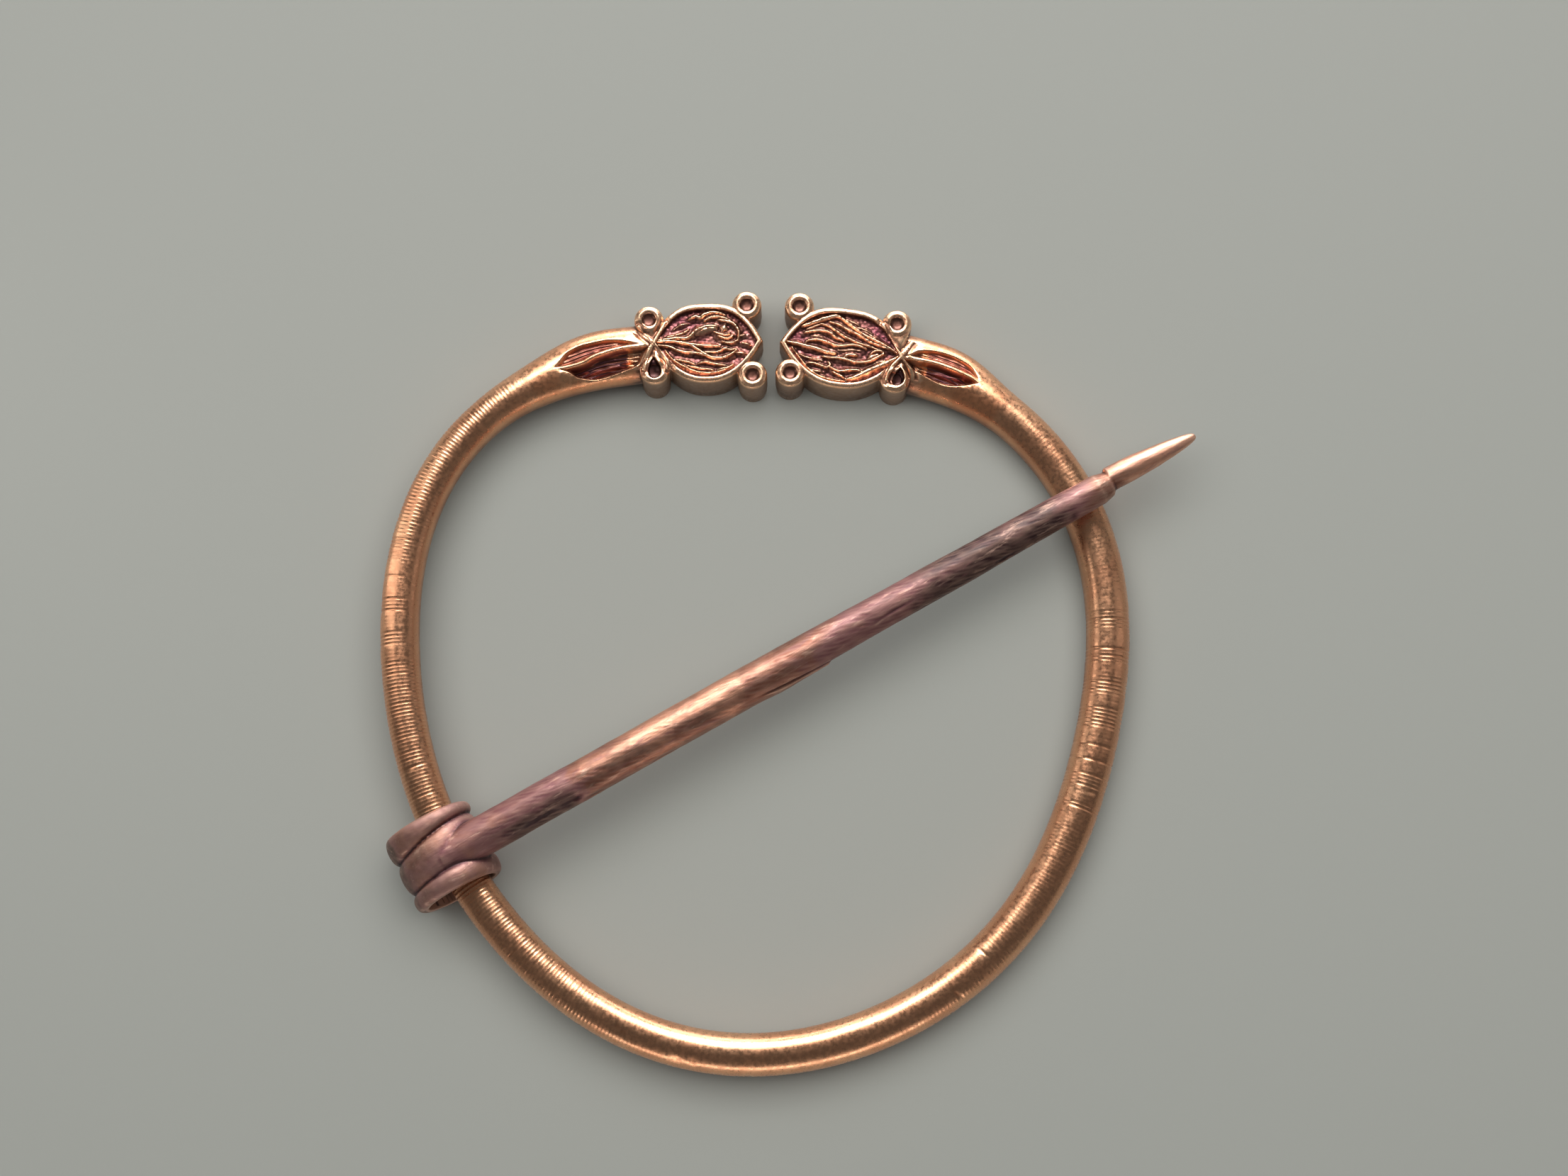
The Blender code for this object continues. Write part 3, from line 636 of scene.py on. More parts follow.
def neckDepth(places, head):
    # the two cells of the leaf on the neck, parted by its middle ridge
    carving = head["carving"]
    ridge = smoothLine(carving["ridge"])
    depth = np.zeros(len(places))
    for name in ("upper", "lower"):
        edge = smoothLine(((carving["ridge"][0]),) + tuple(carving[name]) + (carving["ridge"][-1],))
        within = insideBy(places, np.vstack([ridge, edge[::-1][1:-1]]))
        bowl = smoothStep(0.07, 0.5, within)
        streaks = 0.07 * np.sin(places[:, 1] * 17 + 1.5 * np.sin(places[:, 0] * 0.9)) * smoothStep(0.25, 0.6, within)
        uneven = 0.05 * wobble(places[:, 0], places[:, 1], 0.5) * bowl
        depth = np.maximum(depth, carving[name + "Depth"] * bowl + streaks + uneven)
    gap, share = distanceTo(places, smoothLine(carving["leaf"]))
    rise = 0.3 * np.clip(1 - gap / 0.28, 0, 1) * np.sin(np.pi * np.clip(share, 0, 1)) ** 0.5
    return np.maximum(depth - rise * (depth > 0.2), 0)


def crossingDepth(places, head):
    # round the two crossed lines of the waist the metal is a little lower, and the inner loop is deep
    carving = head["carving"]
    gap = np.full(len(places), 9.0)
    for points in carving["crossing"]:
        gap = np.minimum(gap, distanceTo(places, smoothLine(ontoPlate(points, carving)))[0])
    depth = 0.17 * smoothStep(0.13, 0.26, gap) * (1 - smoothStep(0.4, 0.75, gap))
    tear = insideBy(places, smoothLine(ontoPlate(carving["tear"], carving), closed=True))
    return np.maximum(depth, 0.5 * smoothStep(0.02, 0.28, tear))


def carveHead(item, head):
    mesh = item.data
    points = readPoints(mesh)
    onTop = smoothStep(0.1, 0.5, readNormals(mesh)[:, 2]) * (points[:, 2] > 0.6)
    plate = plateCoordinates(points, head)
    near = np.where((onTop > 0) & nearPlate(plate, head, 2.2, 0.3, 5))[0]
    inside = recessDepth(plate[near], head)
    floor = near[(inside > 0.02) & (points[near, 2] < hoop["front"] - 0.3)]
    within = recessDepth(plate[floor], head)
    rise = strokeHeight(plate[floor], head["carving"])
    along, across = plate[floor].T
    rise += 0.045 * wobble(along, across, 0.42, 1.0) + 0.03 * wobble(along, across, 0.17)
    points[floor, 2] += rise * smoothStep(0.02, 0.12, within) * onTop[floor]
    waist = near[inside < 0.02]
    depth = crossingDepth(plate[waist], head) * onTop[waist]
    sunk = waist[depth > 0]
    lowest = np.minimum(points[sunk, 2], hoop["front"] - 0.62)
    points[sunk, 2] = np.maximum(points[sunk, 2] - depth[depth > 0], lowest)
    neck = neckCoordinates(points, head)
    touched = np.where((onTop > 0) & (neck[:, 0] > -0.3) & (neck[:, 0] < head["leafLength"] + 1.5))[0]
    depth = neckDepth(neck[touched], head) * smoothStep(-0.1, 0.4, neck[touched, 0])
    points[touched, 2] -= depth * onTop[touched]
    writePoints(mesh, points)


# The way the brooch lies
def restMatrix():
    up = Vector((rest["leanX"], rest["leanY"], math.sqrt(1 - rest["leanX"] ** 2 - rest["leanY"] ** 2)))
    turn = up.rotation_difference(Vector((0, 0, 1))).to_matrix().to_4x4()
    return Matrix.Translation((rest["shiftX"], rest["shiftY"], rest["rise"])) @ turn


lyingDown = restMatrix()


def cutAtGround(item):
    # whatever reaches below the ground is cut off level
    ground = addMesh("ground", [(x, y, z) for z in (-9, 0) for x, y in ((-60, -60), (60, -60), (60, 60), (-60, 60))],
                     [(3, 2, 1, 0), (4, 5, 6, 7), (0, 1, 5, 4), (1, 2, 6, 5), (2, 3, 7, 6), (3, 0, 4, 7)])
    ground.data.transform(lyingDown.inverted())
    faceOutwards(ground)
    combine(item, [ground], "DIFFERENCE")


def openAtJoin(item, head):
    # cuts the neck off square at the join and leaves its end open
    angle = float(atDistance(head, head["join"]))
    middle = ringPoint(angle)
    out = ringOut(angle)
    along = np.array((-out[1], out[0], 0)) * head["side"]
    work = bmesh.new()
    work.from_mesh(item.data)
    bmesh.ops.bisect_plane(work, geom=work.verts[:] + work.edges[:] + work.faces[:], dist=0.0001,
                           plane_co=Vector(middle), plane_no=Vector(along), clear_outer=True)
    work.to_mesh(item.data)
    work.free()


# Ribbed wire of the hoop
wire = {
    "rows": 1400, "rowsPerRib": 3, "sides": 40,
    "guidePoints": 1500,
    "depth": 0.11, "ragged": 0.55, "seed": 4,
    "joinGap": 0.2,
    # how deep the ribs are at angles round the hoop, 1 being full depth
    "fade": ((120, 0.1), (133, 0.45), (140, 1), (160, 1), (163.5, 0.12), (177, 0.12), (179, 0.7), (203, 0.75),
             (215, 0.6), (232, 0.55), (248, 0.28), (300, 0.2), (308, 0.45), (330, 0.5), (336, 0.14), (372, 0.1), (384, 0.22),
             (396, 0.2), (402, 0.1)),
    # how far the ribs reach over the inner side too
    "wide": ((172, 0), (182, 0.75), (235, 0.75), (248, 0.2), (325, 0.2), (336, 0.7), (372, 0.7), (384, 0.2)),
    # short groups of lines in the plain stretches, from one angle to another
    "groups": ((164.2, 165.1), (168.0, 170.3), (173.1, 175.8), (336.9, 337.9), (340.3, 343.1), (345.0, 345.7),
               (347.4, 348.1), (350.9, 354.4), (356.2, 359.0), (361.6, 364.3), (367.3, 369.8)),
}


def ribAmount(angle):
    a = pastGap(angle)
    amount = fromTable(wire["fade"], a)
    for low, high in wire["groups"]:
        amount = np.maximum(amount, 0.85 * ((a > low) & (a < high)))
    for head in heads:
        amount = amount * smoothStep(head["join"] - 1.0, head["join"] + 3.0, fromWaist(head, a))
    return amount


# Nodes
def feed(tree, node, inputs):
    for key, value in inputs.items():
        if isinstance(value, bpy.types.NodeSocket):
            tree.links.new(value, node.inputs[key])
        else:
            node.inputs[key].default_value = value


def addNode(tree, kind, inputs=(), **settings):
    node = tree.nodes.new(kind)
    for name, value in settings.items():
        setattr(node, name, value)
    feed(tree, node, dict(inputs))
    return node


def mathNode(tree, operation, first, second=None):
    inputs = {0: first} if second is None else {0: first, 1: second}
    return addNode(tree, "ShaderNodeMath", inputs, operation=operation).outputs[0]


def times(tree, first, second):
    return mathNode(tree, "MULTIPLY", first, second)


def vectorNode(tree, operation, inputs, output="Vector"):
    return addNode(tree, "ShaderNodeVectorMath", inputs, operation=operation).outputs[output]


def noiseValue(tree, place, scale, detail=3.0, rough=0.55, warp=0.0):
    return addNode(tree, "ShaderNodeTexNoise", {"Vector": place, "Scale": scale, "Detail": detail, "Roughness": rough,
                                                "Distortion": warp}).outputs["Fac"]


def between(tree, value, low, high, toLow=0.0, toHigh=1.0):
    return addNode(tree, "ShaderNodeMapRange", {"Value": value, "From Min": low, "From Max": high, "To Min": toLow,
                                                "To Max": toHigh}, interpolation_type="SMOOTHSTEP").outputs["Result"]


def readAttribute(tree, name, kind="FLOAT"):
    return addNode(tree, "GeometryNodeInputNamedAttribute", {"Name": name}, data_type=kind).outputs["Attribute"]


def storeAttribute(tree, geometry, name, value, kind="FLOAT"):
    return addNode(tree, "GeometryNodeStoreNamedAttribute", {"Geometry": geometry, "Name": name, "Value": value},
                   data_type=kind, domain="POINT").outputs["Geometry"]


def ribbedWireTree():
    tree = bpy.data.node_groups.new("ribbedWire", "GeometryNodeTree")
    for name, kind in (("Guide", "Geometry"), ("Rows", "Int"), ("Rows per rib", "Int"), ("Sides", "Int"),
                       ("Rib depth", "Float"), ("Raggedness", "Float"), ("Seed", "Int"), ("Finish", "Material")):
        tree.interface.new_socket(name, in_out="INPUT", socket_type="NodeSocket" + kind)
    tree.interface.new_socket("Wire", in_out="OUTPUT", socket_type="NodeSocketGeometry")
    given = {s.name: s for s in addNode(tree, "NodeGroupInput").outputs}
    guide = addNode(tree, "GeometryNodeMeshToCurve", {"Mesh": given["Guide"]}).outputs["Curve"]
    curve = addNode(tree, "GeometryNodeResampleCurve", {"Curve": guide, "Count": given["Rows"]}).outputs["Curve"]
    # each row knows its place in its rib, and its middle
    phase = mathNode(tree, "DIVIDE", addNode(tree, "GeometryNodeInputIndex").outputs[0], given["Rows per rib"])
    wave = mathNode(tree, "COSINE", times(tree, phase, 2 * math.pi))
    wave = mathNode(tree, "ADD", times(tree, wave, 0.5), 0.5)
    ribNumber = mathNode(tree, "FLOOR", mathNode(tree, "ADD", phase, 0.5))
    chance = addNode(tree, "FunctionNodeRandomValue", {"ID": ribNumber, "Seed": given["Seed"]}, data_type="FLOAT")
    uneven = mathNode(tree, "SUBTRACT", 1.0, times(tree, chance.outputs[1], given["Raggedness"]))
    groove = times(tree, times(tree, wave, uneven), readAttribute(tree, "ribbed"))
    groove = times(tree, groove, given["Rib depth"])
    curve = storeAttribute(tree, curve, "groove", groove)
    curve = storeAttribute(tree, curve, "middle", addNode(tree, "GeometryNodeInputPosition").outputs[0], "FLOAT_VECTOR")
    circle = addNode(tree, "GeometryNodeCurvePrimitiveCircle", {"Radius": 1, "Resolution": given["Sides"]})
    skin = addNode(tree, "GeometryNodeCurveToMesh", {"Curve": curve, "Profile Curve": circle.outputs["Curve"],
                                                     "Scale": readAttribute(tree, "halfWidth")}).outputs["Mesh"]
    # the grooves fade towards the back and, where the wear is one-sided, towards the inner side
    place = addNode(tree, "GeometryNodeInputPosition").outputs[0]
    middle = readAttribute(tree, "middle", "FLOAT_VECTOR")
    spoke = vectorNode(tree, "NORMALIZE", {0: vectorNode(tree, "SUBTRACT", {0: place, 1: middle})})
    front = between(tree, addNode(tree, "ShaderNodeSeparateXYZ", {0: spoke}).outputs["Z"], -0.75, 0.1)
    outwards = vectorNode(tree, "NORMALIZE", {0: middle})
    side = between(tree, vectorNode(tree, "DOT_PRODUCT", {0: spoke, 1: outwards}, "Value"), -0.4, 0.4, 0.14)
    worn = times(tree, front, mathNode(tree, "ADD", noiseValue(tree, place, 0.6, 2.0, 0.5), 0.5))
    worn = times(tree, worn, mathNode(tree, "MAXIMUM", side, readAttribute(tree, "wide")))
    inwards = times(tree, times(tree, readAttribute(tree, "groove"), worn), -1)
    push = vectorNode(tree, "SCALE", {0: spoke, "Scale": inwards})
    moved = addNode(tree, "GeometryNodeSetPosition", {"Geometry": skin, "Offset": push}).outputs["Geometry"]
    # the section is flattened where the neck is wider than deep
    where = addNode(tree, "ShaderNodeSeparateXYZ", {0: addNode(tree, "GeometryNodeInputPosition").outputs[0]}).outputs
    height = times(tree, where["Z"], readAttribute(tree, "flatness"))
    joined = addNode(tree, "ShaderNodeCombineXYZ", {"X": where["X"], "Y": where["Y"], "Z": height}).outputs[0]
    flat = addNode(tree, "GeometryNodeSetPosition", {"Geometry": moved, "Position": joined}).outputs["Geometry"]
    real = addNode(tree, "GeometryNodeRealizeInstances", {"Geometry": flat}).outputs["Geometry"]
    dressed = addNode(tree, "GeometryNodeSetMaterial", {"Geometry": real, "Material": given["Finish"]})
    addNode(tree, "NodeGroupOutput", {"Wire": dressed.outputs["Geometry"]})
    return tree


def wireBody(finish):
    first = float(atDistance(leftHead, leftHead["join"] + wire["joinGap"]))
    last = float(atDistance(rightHead, rightHead["join"] + wire["joinGap"]))
    angles = np.linspace(first, last, wire["guidePoints"])
    width, depth = wireSize(angles)
    points = ringPoint(angles) + ringOut(angles) * (neckBulge(angles) / 2)[:, None]
    mesh = bpy.data.meshes.new("hoopWire")
    mesh.from_pydata([tuple(p) for p in points], [(k, k + 1) for k in range(len(points) - 1)], [])
    for name, values in (("halfWidth", width / 2 - hoop["skin"]), ("flatness", depth / width),
                         ("ribbed", ribAmount(angles)), ("wide", fromTable(wire["wide"], pastGap(angles)))):
        writeValues(mesh, name, values)
    item = bpy.data.objects.new("hoopWire", mesh)
    bpy.context.scene.collection.objects.link(item)
    tree = ribbedWireTree()
    step = item.modifiers.new("ribs", "NODES")
    step.node_group = tree
    values = {"Rows": wire["rows"], "Rows per rib": wire["rowsPerRib"], "Sides": wire["sides"],
              "Rib depth": wire["depth"], "Raggedness": wire["ragged"], "Seed": wire["seed"], "Finish": finish}
    for socket in tree.interface.items_tree:
        if socket.in_out == "INPUT" and socket.name in values:
            step[socket.identifier] = values[socket.name]
    settle(item)
    return item


def joinAll(name, items):
    # one mesh out of the wire and both heads, whose open ends are bridged, first on the left
    work = bmesh.new()
    for item in items:
        work.from_mesh(item.data)
        drop(item)
    for onSide in (lambda x: x < 0, lambda x: x >= 0):
        edges = [e for e in work.edges if e.is_boundary and onSide(e.verts[0].co.x)]
        bmesh.ops.bridge_loops(work, edges=edges)
    bmesh.ops.triangulate(work, faces=[f for f in work.faces if len(f.verts) > 4])
    bmesh.ops.recalc_face_normals(work, faces=work.faces)
    mesh = bpy.data.meshes.new(name)
    work.to_mesh(mesh)
    work.free()
    item = bpy.data.objects.new(name, mesh)
    bpy.context.scene.collection.objects.link(item)
    print("   ", name, "open edges", openEdges(mesh))
    return item


def openEdges(mesh):
    work = bmesh.new()
    work.from_mesh(mesh)
    count = sum(1 for e in work.edges if len(e.link_faces) != 2)
    work.free()
    return count


# What the finishes read from the meshes
def writeValues(mesh, name, values):
    layer = mesh.attributes.new(name, "FLOAT", "POINT")
    layer.data.foreach_set("value", np.asarray(values, np.float32))


def creases(mesh, rounds):
    # how far the surface lies below its own surroundings, in the mesh's units
    points = readPoints(mesh)
    pairs = np.empty(len(mesh.edges) * 2, np.int32)
    mesh.edges.foreach_get("vertices", pairs)
    first, second = pairs.reshape(-1, 2).T
    both = np.concatenate([first, second])
    other = np.concatenate([second, first])
    degree = np.maximum(np.bincount(both, minlength=len(points)), 1)
    eased = points.copy()
    for _ in range(rounds):
        near = np.stack([np.bincount(both, eased[other, k], len(points)) for k in range(3)], -1) / degree[:, None]
        eased = 0.4 * eased + 0.6 * near
    return ((eased - points) * readNormals(mesh)).sum(1)


def wearHoop(item):
    # small dents and scratches of use
    mesh = item.data
    points = readPoints(mesh)
    angle = pastGap(angleRound(points))
    reach = ringRadius(angle)
    aside = np.hypot(points[:, 0], points[:, 1]) - reach
    on = points[:, 2] > 0
    dent = np.zeros(len(points))
    for place, side, turned, long, wide, deep in hoop["dents"]:
        x = np.radians((angle - place + 180) % 360 - 180) * reach
        y = aside - side
        c, s = math.cos(math.radians(turned)), math.sin(math.radians(turned))
        dent += deep * np.exp(-((x * c + y * s) / long) ** 2 - ((y * c - x * s) / wide) ** 2) * on
    writePoints(mesh, points - readNormals(mesh) * dent[:, None])


def markHoop(item):
    mesh = item.data
    points = readPoints(mesh)
    facing = readNormals(mesh)
    up = facing[:, 2]
    hollow = np.zeros(len(points))
    shade = np.zeros(len(points))
    byHead = np.zeros(len(points))
    for head in heads:
        plate = plateCoordinates(points, head)
        byHead = np.maximum(byHead, nearPlate(plate, head, 2, 2, 6))
        onPlate = nearPlate(plate, head, 2.5, 3, 6) & (points[:, 2] > 0.5)
        near = np.where(onPlate)[0]
        below = hoop["front"] - points[near, 2]
        crossing = crossingDepth(plate[near], head)
        deep = smoothStep(0.16, 0.55, below) * smoothStep(-0.02, 0.1, recessDepth(plate[near], head))
        sunk = smoothStep(0.1, 0.42, crossing)
        for middle in head["bosses"]:
            away = np.hypot(plate[near, 0] - middle[0], plate[near, 1] - middle[1])
            sunk = np.maximum(sunk, 0.65 * smoothStep(0.05, 0.22, below) * (away < headMake["eye"] / 2 + 0.1))
        hollow[near] = np.maximum(hollow[near], np.maximum(deep, sunk))
        shade[near] = smoothStep(0.25, 0.5, crossing)
        neck = neckCoordinates(points, head)
        onLeaf = (neck[:, 0] > -0.3) & (neck[:, 0] < head["leafLength"] + 1.5) & (points[:, 2] > -0.4)
        near = np.where(onLeaf & ~onPlate)[0]
        depth = neckDepth(neck[near], head)
        hollow[near] = np.maximum(hollow[near], smoothStep(0.12, 0.62, depth))
        shade[near] = np.maximum(shade[near], smoothStep(0.5, 0.8, depth))
    writeValues(mesh, "hollow", hollow)
    writeValues(mesh, "shade", shade)
    crease = creases(mesh, 10)
    writeValues(mesh, "crease", np.clip(crease / 0.045, 0, 1))
    writeValues(mesh, "crest", np.clip(-crease / 0.045, 0, 1))
    writeValues(mesh, "byHead", byHead)
    angle = pastGap(angleRound(points))
    # painted dark reflection: a darker, redder band along the hoop on its upward faces tipped a little towards -Y, away
    # from the leaves
    tilt = 0.25 * facing[:, 0] - 0.97 * facing[:, 1]
    paintedDarkReflection = np.exp(-((tilt - 0.27) / 0.33) ** 2) * smoothStep(0.2, 0.6, up)
    for head in heads:
        paintedDarkReflection = paintedDarkReflection * smoothStep(0.5, 4, np.maximum(fromWaist(head, angle) - head["leafLength"], 0))
    writeValues(mesh, "paintedDarkReflection", paintedDarkReflection)
    # painted shade: the walls of the heads, the shaded inner side and the back are darker; the finish also makes them
    # less metallic and rougher
    shadeAndDullness = smoothStep(0.6, 0.2, np.abs(up)) * smoothStep(2.0, 1.35, points[:, 2]) * byHead
    turned = np.radians(angle)
    inner = smoothStep(-0.1, -0.6, facing[:, 0] * np.cos(turned) + facing[:, 1] * np.sin(turned))
    shaded = smoothStep(0.55, 0.0, up) * inner * smoothStep(-0.75, -0.3, tilt) * 0.75
    writeValues(mesh, "shadeAndDullness", np.maximum(np.maximum(shadeAndDullness, shaded), smoothStep(0.0, -0.7, up) * 0.6))


# Finish of the bronze
bronze = {
    "light": (0.84, 0.43, 0.235, 1), "copper": (0.72, 0.30, 0.15, 1), "deep": (0.42, 0.15, 0.07, 1),
    "patina": (0.22, 0.055, 0.08, 1), "creaseDark": (0.035, 0.014, 0.010, 1), "worn": (1.0, 0.66, 0.42, 1),
    "wallShadeBrown": (0.095, 0.045, 0.028, 1), "night": (0.05, 0.022, 0.036, 1), "pink": (0.92, 0.46, 0.29, 1),
    "mottle": 260.0, "grain": 2600.0, "scratches": 900.0,
    "roughness": 0.32, "coat": 0.22, "coatRoughness": 0.25,
}

pinBronze = {
    "gold": (0.70, 0.34, 0.22, 1), "copper": (0.25, 0.10, 0.065, 1), "purple": (0.23, 0.10, 0.105, 1),
    "black": (0.045, 0.018, 0.021, 1), "dark": (0.045, 0.022, 0.026, 1), "worn": (0.86, 0.58, 0.45, 1),
    "mottle": 320.0, "grain": 2600.0,
    "roughness": 0.42, "coat": 0.4, "coatRoughness": 0.4,
}


def blend(tree, amount, first, second):
    return addNode(tree, "ShaderNodeMix", {0: amount, 6: first, 7: second}, data_type="RGBA").outputs[2]


def meshValue(tree, name):
    return addNode(tree, "ShaderNodeAttribute", attribute_name=name).outputs["Fac"]


def startMaterial(name):
    material = bpy.data.materials.new(name)
    material.use_nodes = True
    tree = material.node_tree
    return material, tree, addNode(tree, "ShaderNodeTexCoord").outputs["Object"]


def layColours(tree, make, colour, layers):
    # each colour over the ones before it, where its amount says
    for amount, name in layers:
        colour = blend(tree, amount, colour, make[name])
    return colour


def endMaterial(tree, make, inputs, bumps):
    # strength, distance and height of each bump, one over the other
    normal = {}
    for strength, distance, height in bumps:
        node = addNode(tree, "ShaderNodeBump", {"Strength": strength, "Distance": distance, "Height": height, **normal})
        normal = {"Normal": node.outputs[0]}
    coat = {"Coat Weight": make["coat"], "Coat Roughness": make["coatRoughness"]}
    feed(tree, tree.nodes["Principled BSDF"], {**inputs, **coat, **normal})


def hoopFinish():
    make = bronze
    material, tree, place = startMaterial("hoopBronze")
    hollow, crease, crest, byHead = (meshValue(tree, k) for k in ("hollow", "crease", "crest", "byHead"))
    patches = noiseValue(tree, place, make["mottle"], 4.0, 0.6, 0.4)
    fine = noiseValue(tree, place, make["grain"], 4.0, 0.6)
    broad = noiseValue(tree, place, make["mottle"] / 4, 2.0)
    pits = noiseValue(tree, place, make["scratches"], 5.0, 0.65, 0.6)
    # painted shade on the walls, the inner side and the back, which are also made less metallic and rougher
    shadeAndDullness = times(tree, meshValue(tree, "shadeAndDullness"), between(tree, patches, 0.2, 0.8, 0.97, 0.75))
    colour = blend(tree, between(tree, patches, 0.36, 0.66), make["copper"], make["light"])
    colour = layColours(tree, make, colour, (
        (times(tree, between(tree, broad, 0.5, 0.72), 0.5), "copper"),
        (times(tree, byHead, 0.75), "pink"),
        # painted dark reflection along the hoop
        (times(tree, meshValue(tree, "paintedDarkReflection"), between(tree, patches, 0.2, 0.7, 0.72, 0.9)), "deep"),
        (times(tree, between(tree, fine, 0.60, 0.72), 0.12), "deep"),
        (times(tree, crest, between(tree, byHead, 0.0, 1.0, 0.22, 0.8)), "worn"),
        (times(tree, hollow, between(tree, patches, 0.25, 0.75, 1.0, 0.72)), "patina"),
        (times(tree, meshValue(tree, "shade"), 0.75), "night"),
        # creases are darkened, brown on the wire and near black on the heads
        (times(tree, crease, between(tree, byHead, 0.0, 1.0, 0.5, 0.0)), "deep"),
        (times(tree, crease, between(tree, byHead, 0.0, 1.0, 0.12, 0.8)), "creaseDark"),
        (shadeAndDullness, "wallShadeBrown"),
    ))
    roughness = between(tree, fine, 0.3, 0.75, make["roughness"] - 0.09, make["roughness"] + 0.1)
    for value, rougher in ((hollow, 0.1), (shadeAndDullness, 0.25)):
        roughness = mathNode(tree, "ADD", roughness, times(tree, value, rougher))
    endMaterial(tree, make, {"Base Color": colour, "Metallic": between(tree, shadeAndDullness, 0.0, 1.0, 1.0, 0.55),
                             "Roughness": roughness}, ((0.3, 0.00005, pits), (0.2, 0.00002, fine)))
    return material


def pinFinish():
    make = pinBronze
    material, tree, place = startMaterial("pinBronze")
    tone, crease, crest = (meshValue(tree, k) for k in ("tone", "crease", "crest"))
    # coordinates stretched along the pin, which the mesh carries in millimetres
    along = addNode(tree, "ShaderNodeAttribute", attribute_name="pinPlace").outputs["Vector"]
    streaks = noiseValue(tree, along, 1.0, 5.0, 0.65, 0.3)
    patches = noiseValue(tree, place, make["mottle"], 4.0, 0.6, 0.5)
    fine = noiseValue(tree, place, make["grain"], 4.0, 0.6)
    mixed = mathNode(tree, "ADD", tone, times(tree, mathNode(tree, "SUBTRACT", patches, 0.5), 0.9))
    colour = blend(tree, between(tree, mixed, -0.55, 0.0), make["black"], make["purple"])
    colour = layColours(tree, make, colour, (
        (between(tree, mixed, 0.1, 0.45), "copper"),
        (between(tree, mixed, 0.5, 0.95), "gold"),
        (times(tree, between(tree, streaks, 0.52, 0.68), 0.6), "purple"),
        (times(tree, between(tree, streaks, 0.44, 0.3), 0.35), "worn"),
        (times(tree, crest, 0.6), "worn"),
        (times(tree, crease, 0.85), "dark"),
    ))
    roughness = between(tree, streaks, 0.3, 0.7, make["roughness"] - 0.08, make["roughness"] + 0.12)
    roughness = mathNode(tree, "ADD", roughness, between(tree, tone, -0.2, 0.85, 0.28, 0.0))
    endMaterial(tree, make, {"Base Color": colour, "Metallic": 1, "Roughness": roughness},
                ((0.6, 0.00008, streaks), (0.4, 0.00002, fine)))
    return material


# Pin, along +X from the axis of its head, which lies along Y
pin = {
    "direction": 211, "bore": 6.7, "radius": 4.35, "shiftOut": 0.9, "shiftUp": 0.25,
    "ribs": (2.1, 3.1, 2.1), "groove": 0.72, "lowGroove": (-1.73, 0.064), "highGroove": (1.82, 0.168),
    "length": 79.9, "skew": -0.4, "restGap": 0.3,
    "shankAside": -0.45, "endAside": -0.12, "tipAside": -0.5,
    "root": 3.7, "middle": 3.7, "crossing": 2.9, "end": 2.35, "flatness": 0.92,
    "shoulderBack": 9.4, "shoulderLength": 1.1, "tipLength": 7.5, "tip": 0.3,
    "crossingAt": 67.908,
    # from purple-brown, 0, to golden, 1, at places along the pin
    "tones": ((-5, 0.22), (1, 0.25), (5, 0.15), (13, 0.0), (15, 0.7), (24, 0.9), (34, 0.7), (40, 0.3), (48, 0.12),
              (53, -0.5), (64, -0.4), (67, 0.25), (71, 0.5), (72.5, 0.95), (80, 1.0)),
    "voxel": 0.1, "triangles": 120000,
    # the lapped seam on the lower side: how high its flap stands, how deep its groove is, and how
    # far the shank drops past it
    "lapHeight": 0.13, "seamDepth": 0.12, "lapDrop": 0.1,
    # place along the pin, angle round it, half length, half width in degrees, depth
    "nicks": ((12.9, 146, 1.2, 13, 0.13), (13.4, 150, 0.4, 9, 0.16), (9.5, 142, 1.6, 9, 0.09),
              (15.0, 168, 0.8, 9, 0.1), (47, 118, 1.4, 6, 0.1), (58.5, 160, 1.0, 9, 0.12),
              (66, 150, 0.5, 12, 0.1), (22, 175, 1.3, 8, 0.1)),
}
pin["rootHeight"] = pin["radius"] - pin["flatness"] * pin["root"] / 2
pin["shoulder"] = pin["length"] - pin["shoulderBack"]
pin["shoulderStart"] = pin["shoulder"] - pin["shoulderLength"]
pin["taper"] = pin["length"] - pin["tipLength"]


def pinHalf(distance):
    # half the shank's thickness at a distance from the head's axis
    half = pin["crossingAt"] / 2
    if distance <= half:
        return (pin["root"] + (pin["middle"] - pin["root"]) * distance / half) / 2
    if distance <= pin["shoulderStart"]:
        t = (distance - half) / (pin["shoulderStart"] - half)
        return (pin["middle"] + (pin["crossing"] - pin["middle"]) * t) / 2
    if distance <= pin["shoulder"]:
        t = (distance - pin["shoulder"] + pin["shoulderLength"]) / pin["shoulderLength"]
        return (pin["crossing"] + (pin["end"] - pin["crossing"]) * t) / 2
    if distance <= pin["taper"]:
        return pin["end"] / 2
    t = (distance - pin["taper"]) / pin["tipLength"]
    return (pin["tip"] + (pin["end"] - pin["tip"]) * math.sqrt(max(0.0, 1 - t ** 1.3))) / 2


def pinPlace():
    inwards = -ringOut(pin["direction"])
    ahead = Matrix.Rotation(math.radians(-pin["skew"]), 3, "Z") @ Vector(inwards)
    start = ringPoint(pin["direction"]) + ringOut(pin["direction"]) * pin["shiftOut"]
    place = Matrix.Identity(4)
    across = (-ahead.y, ahead.x, 0)
    for row in range(3):
        place[row][0] = ahead[row]
        place[row][1] = across[row]
        place[row][3] = start[row] + (pin["shiftUp"] if row == 2 else 0)
    return place


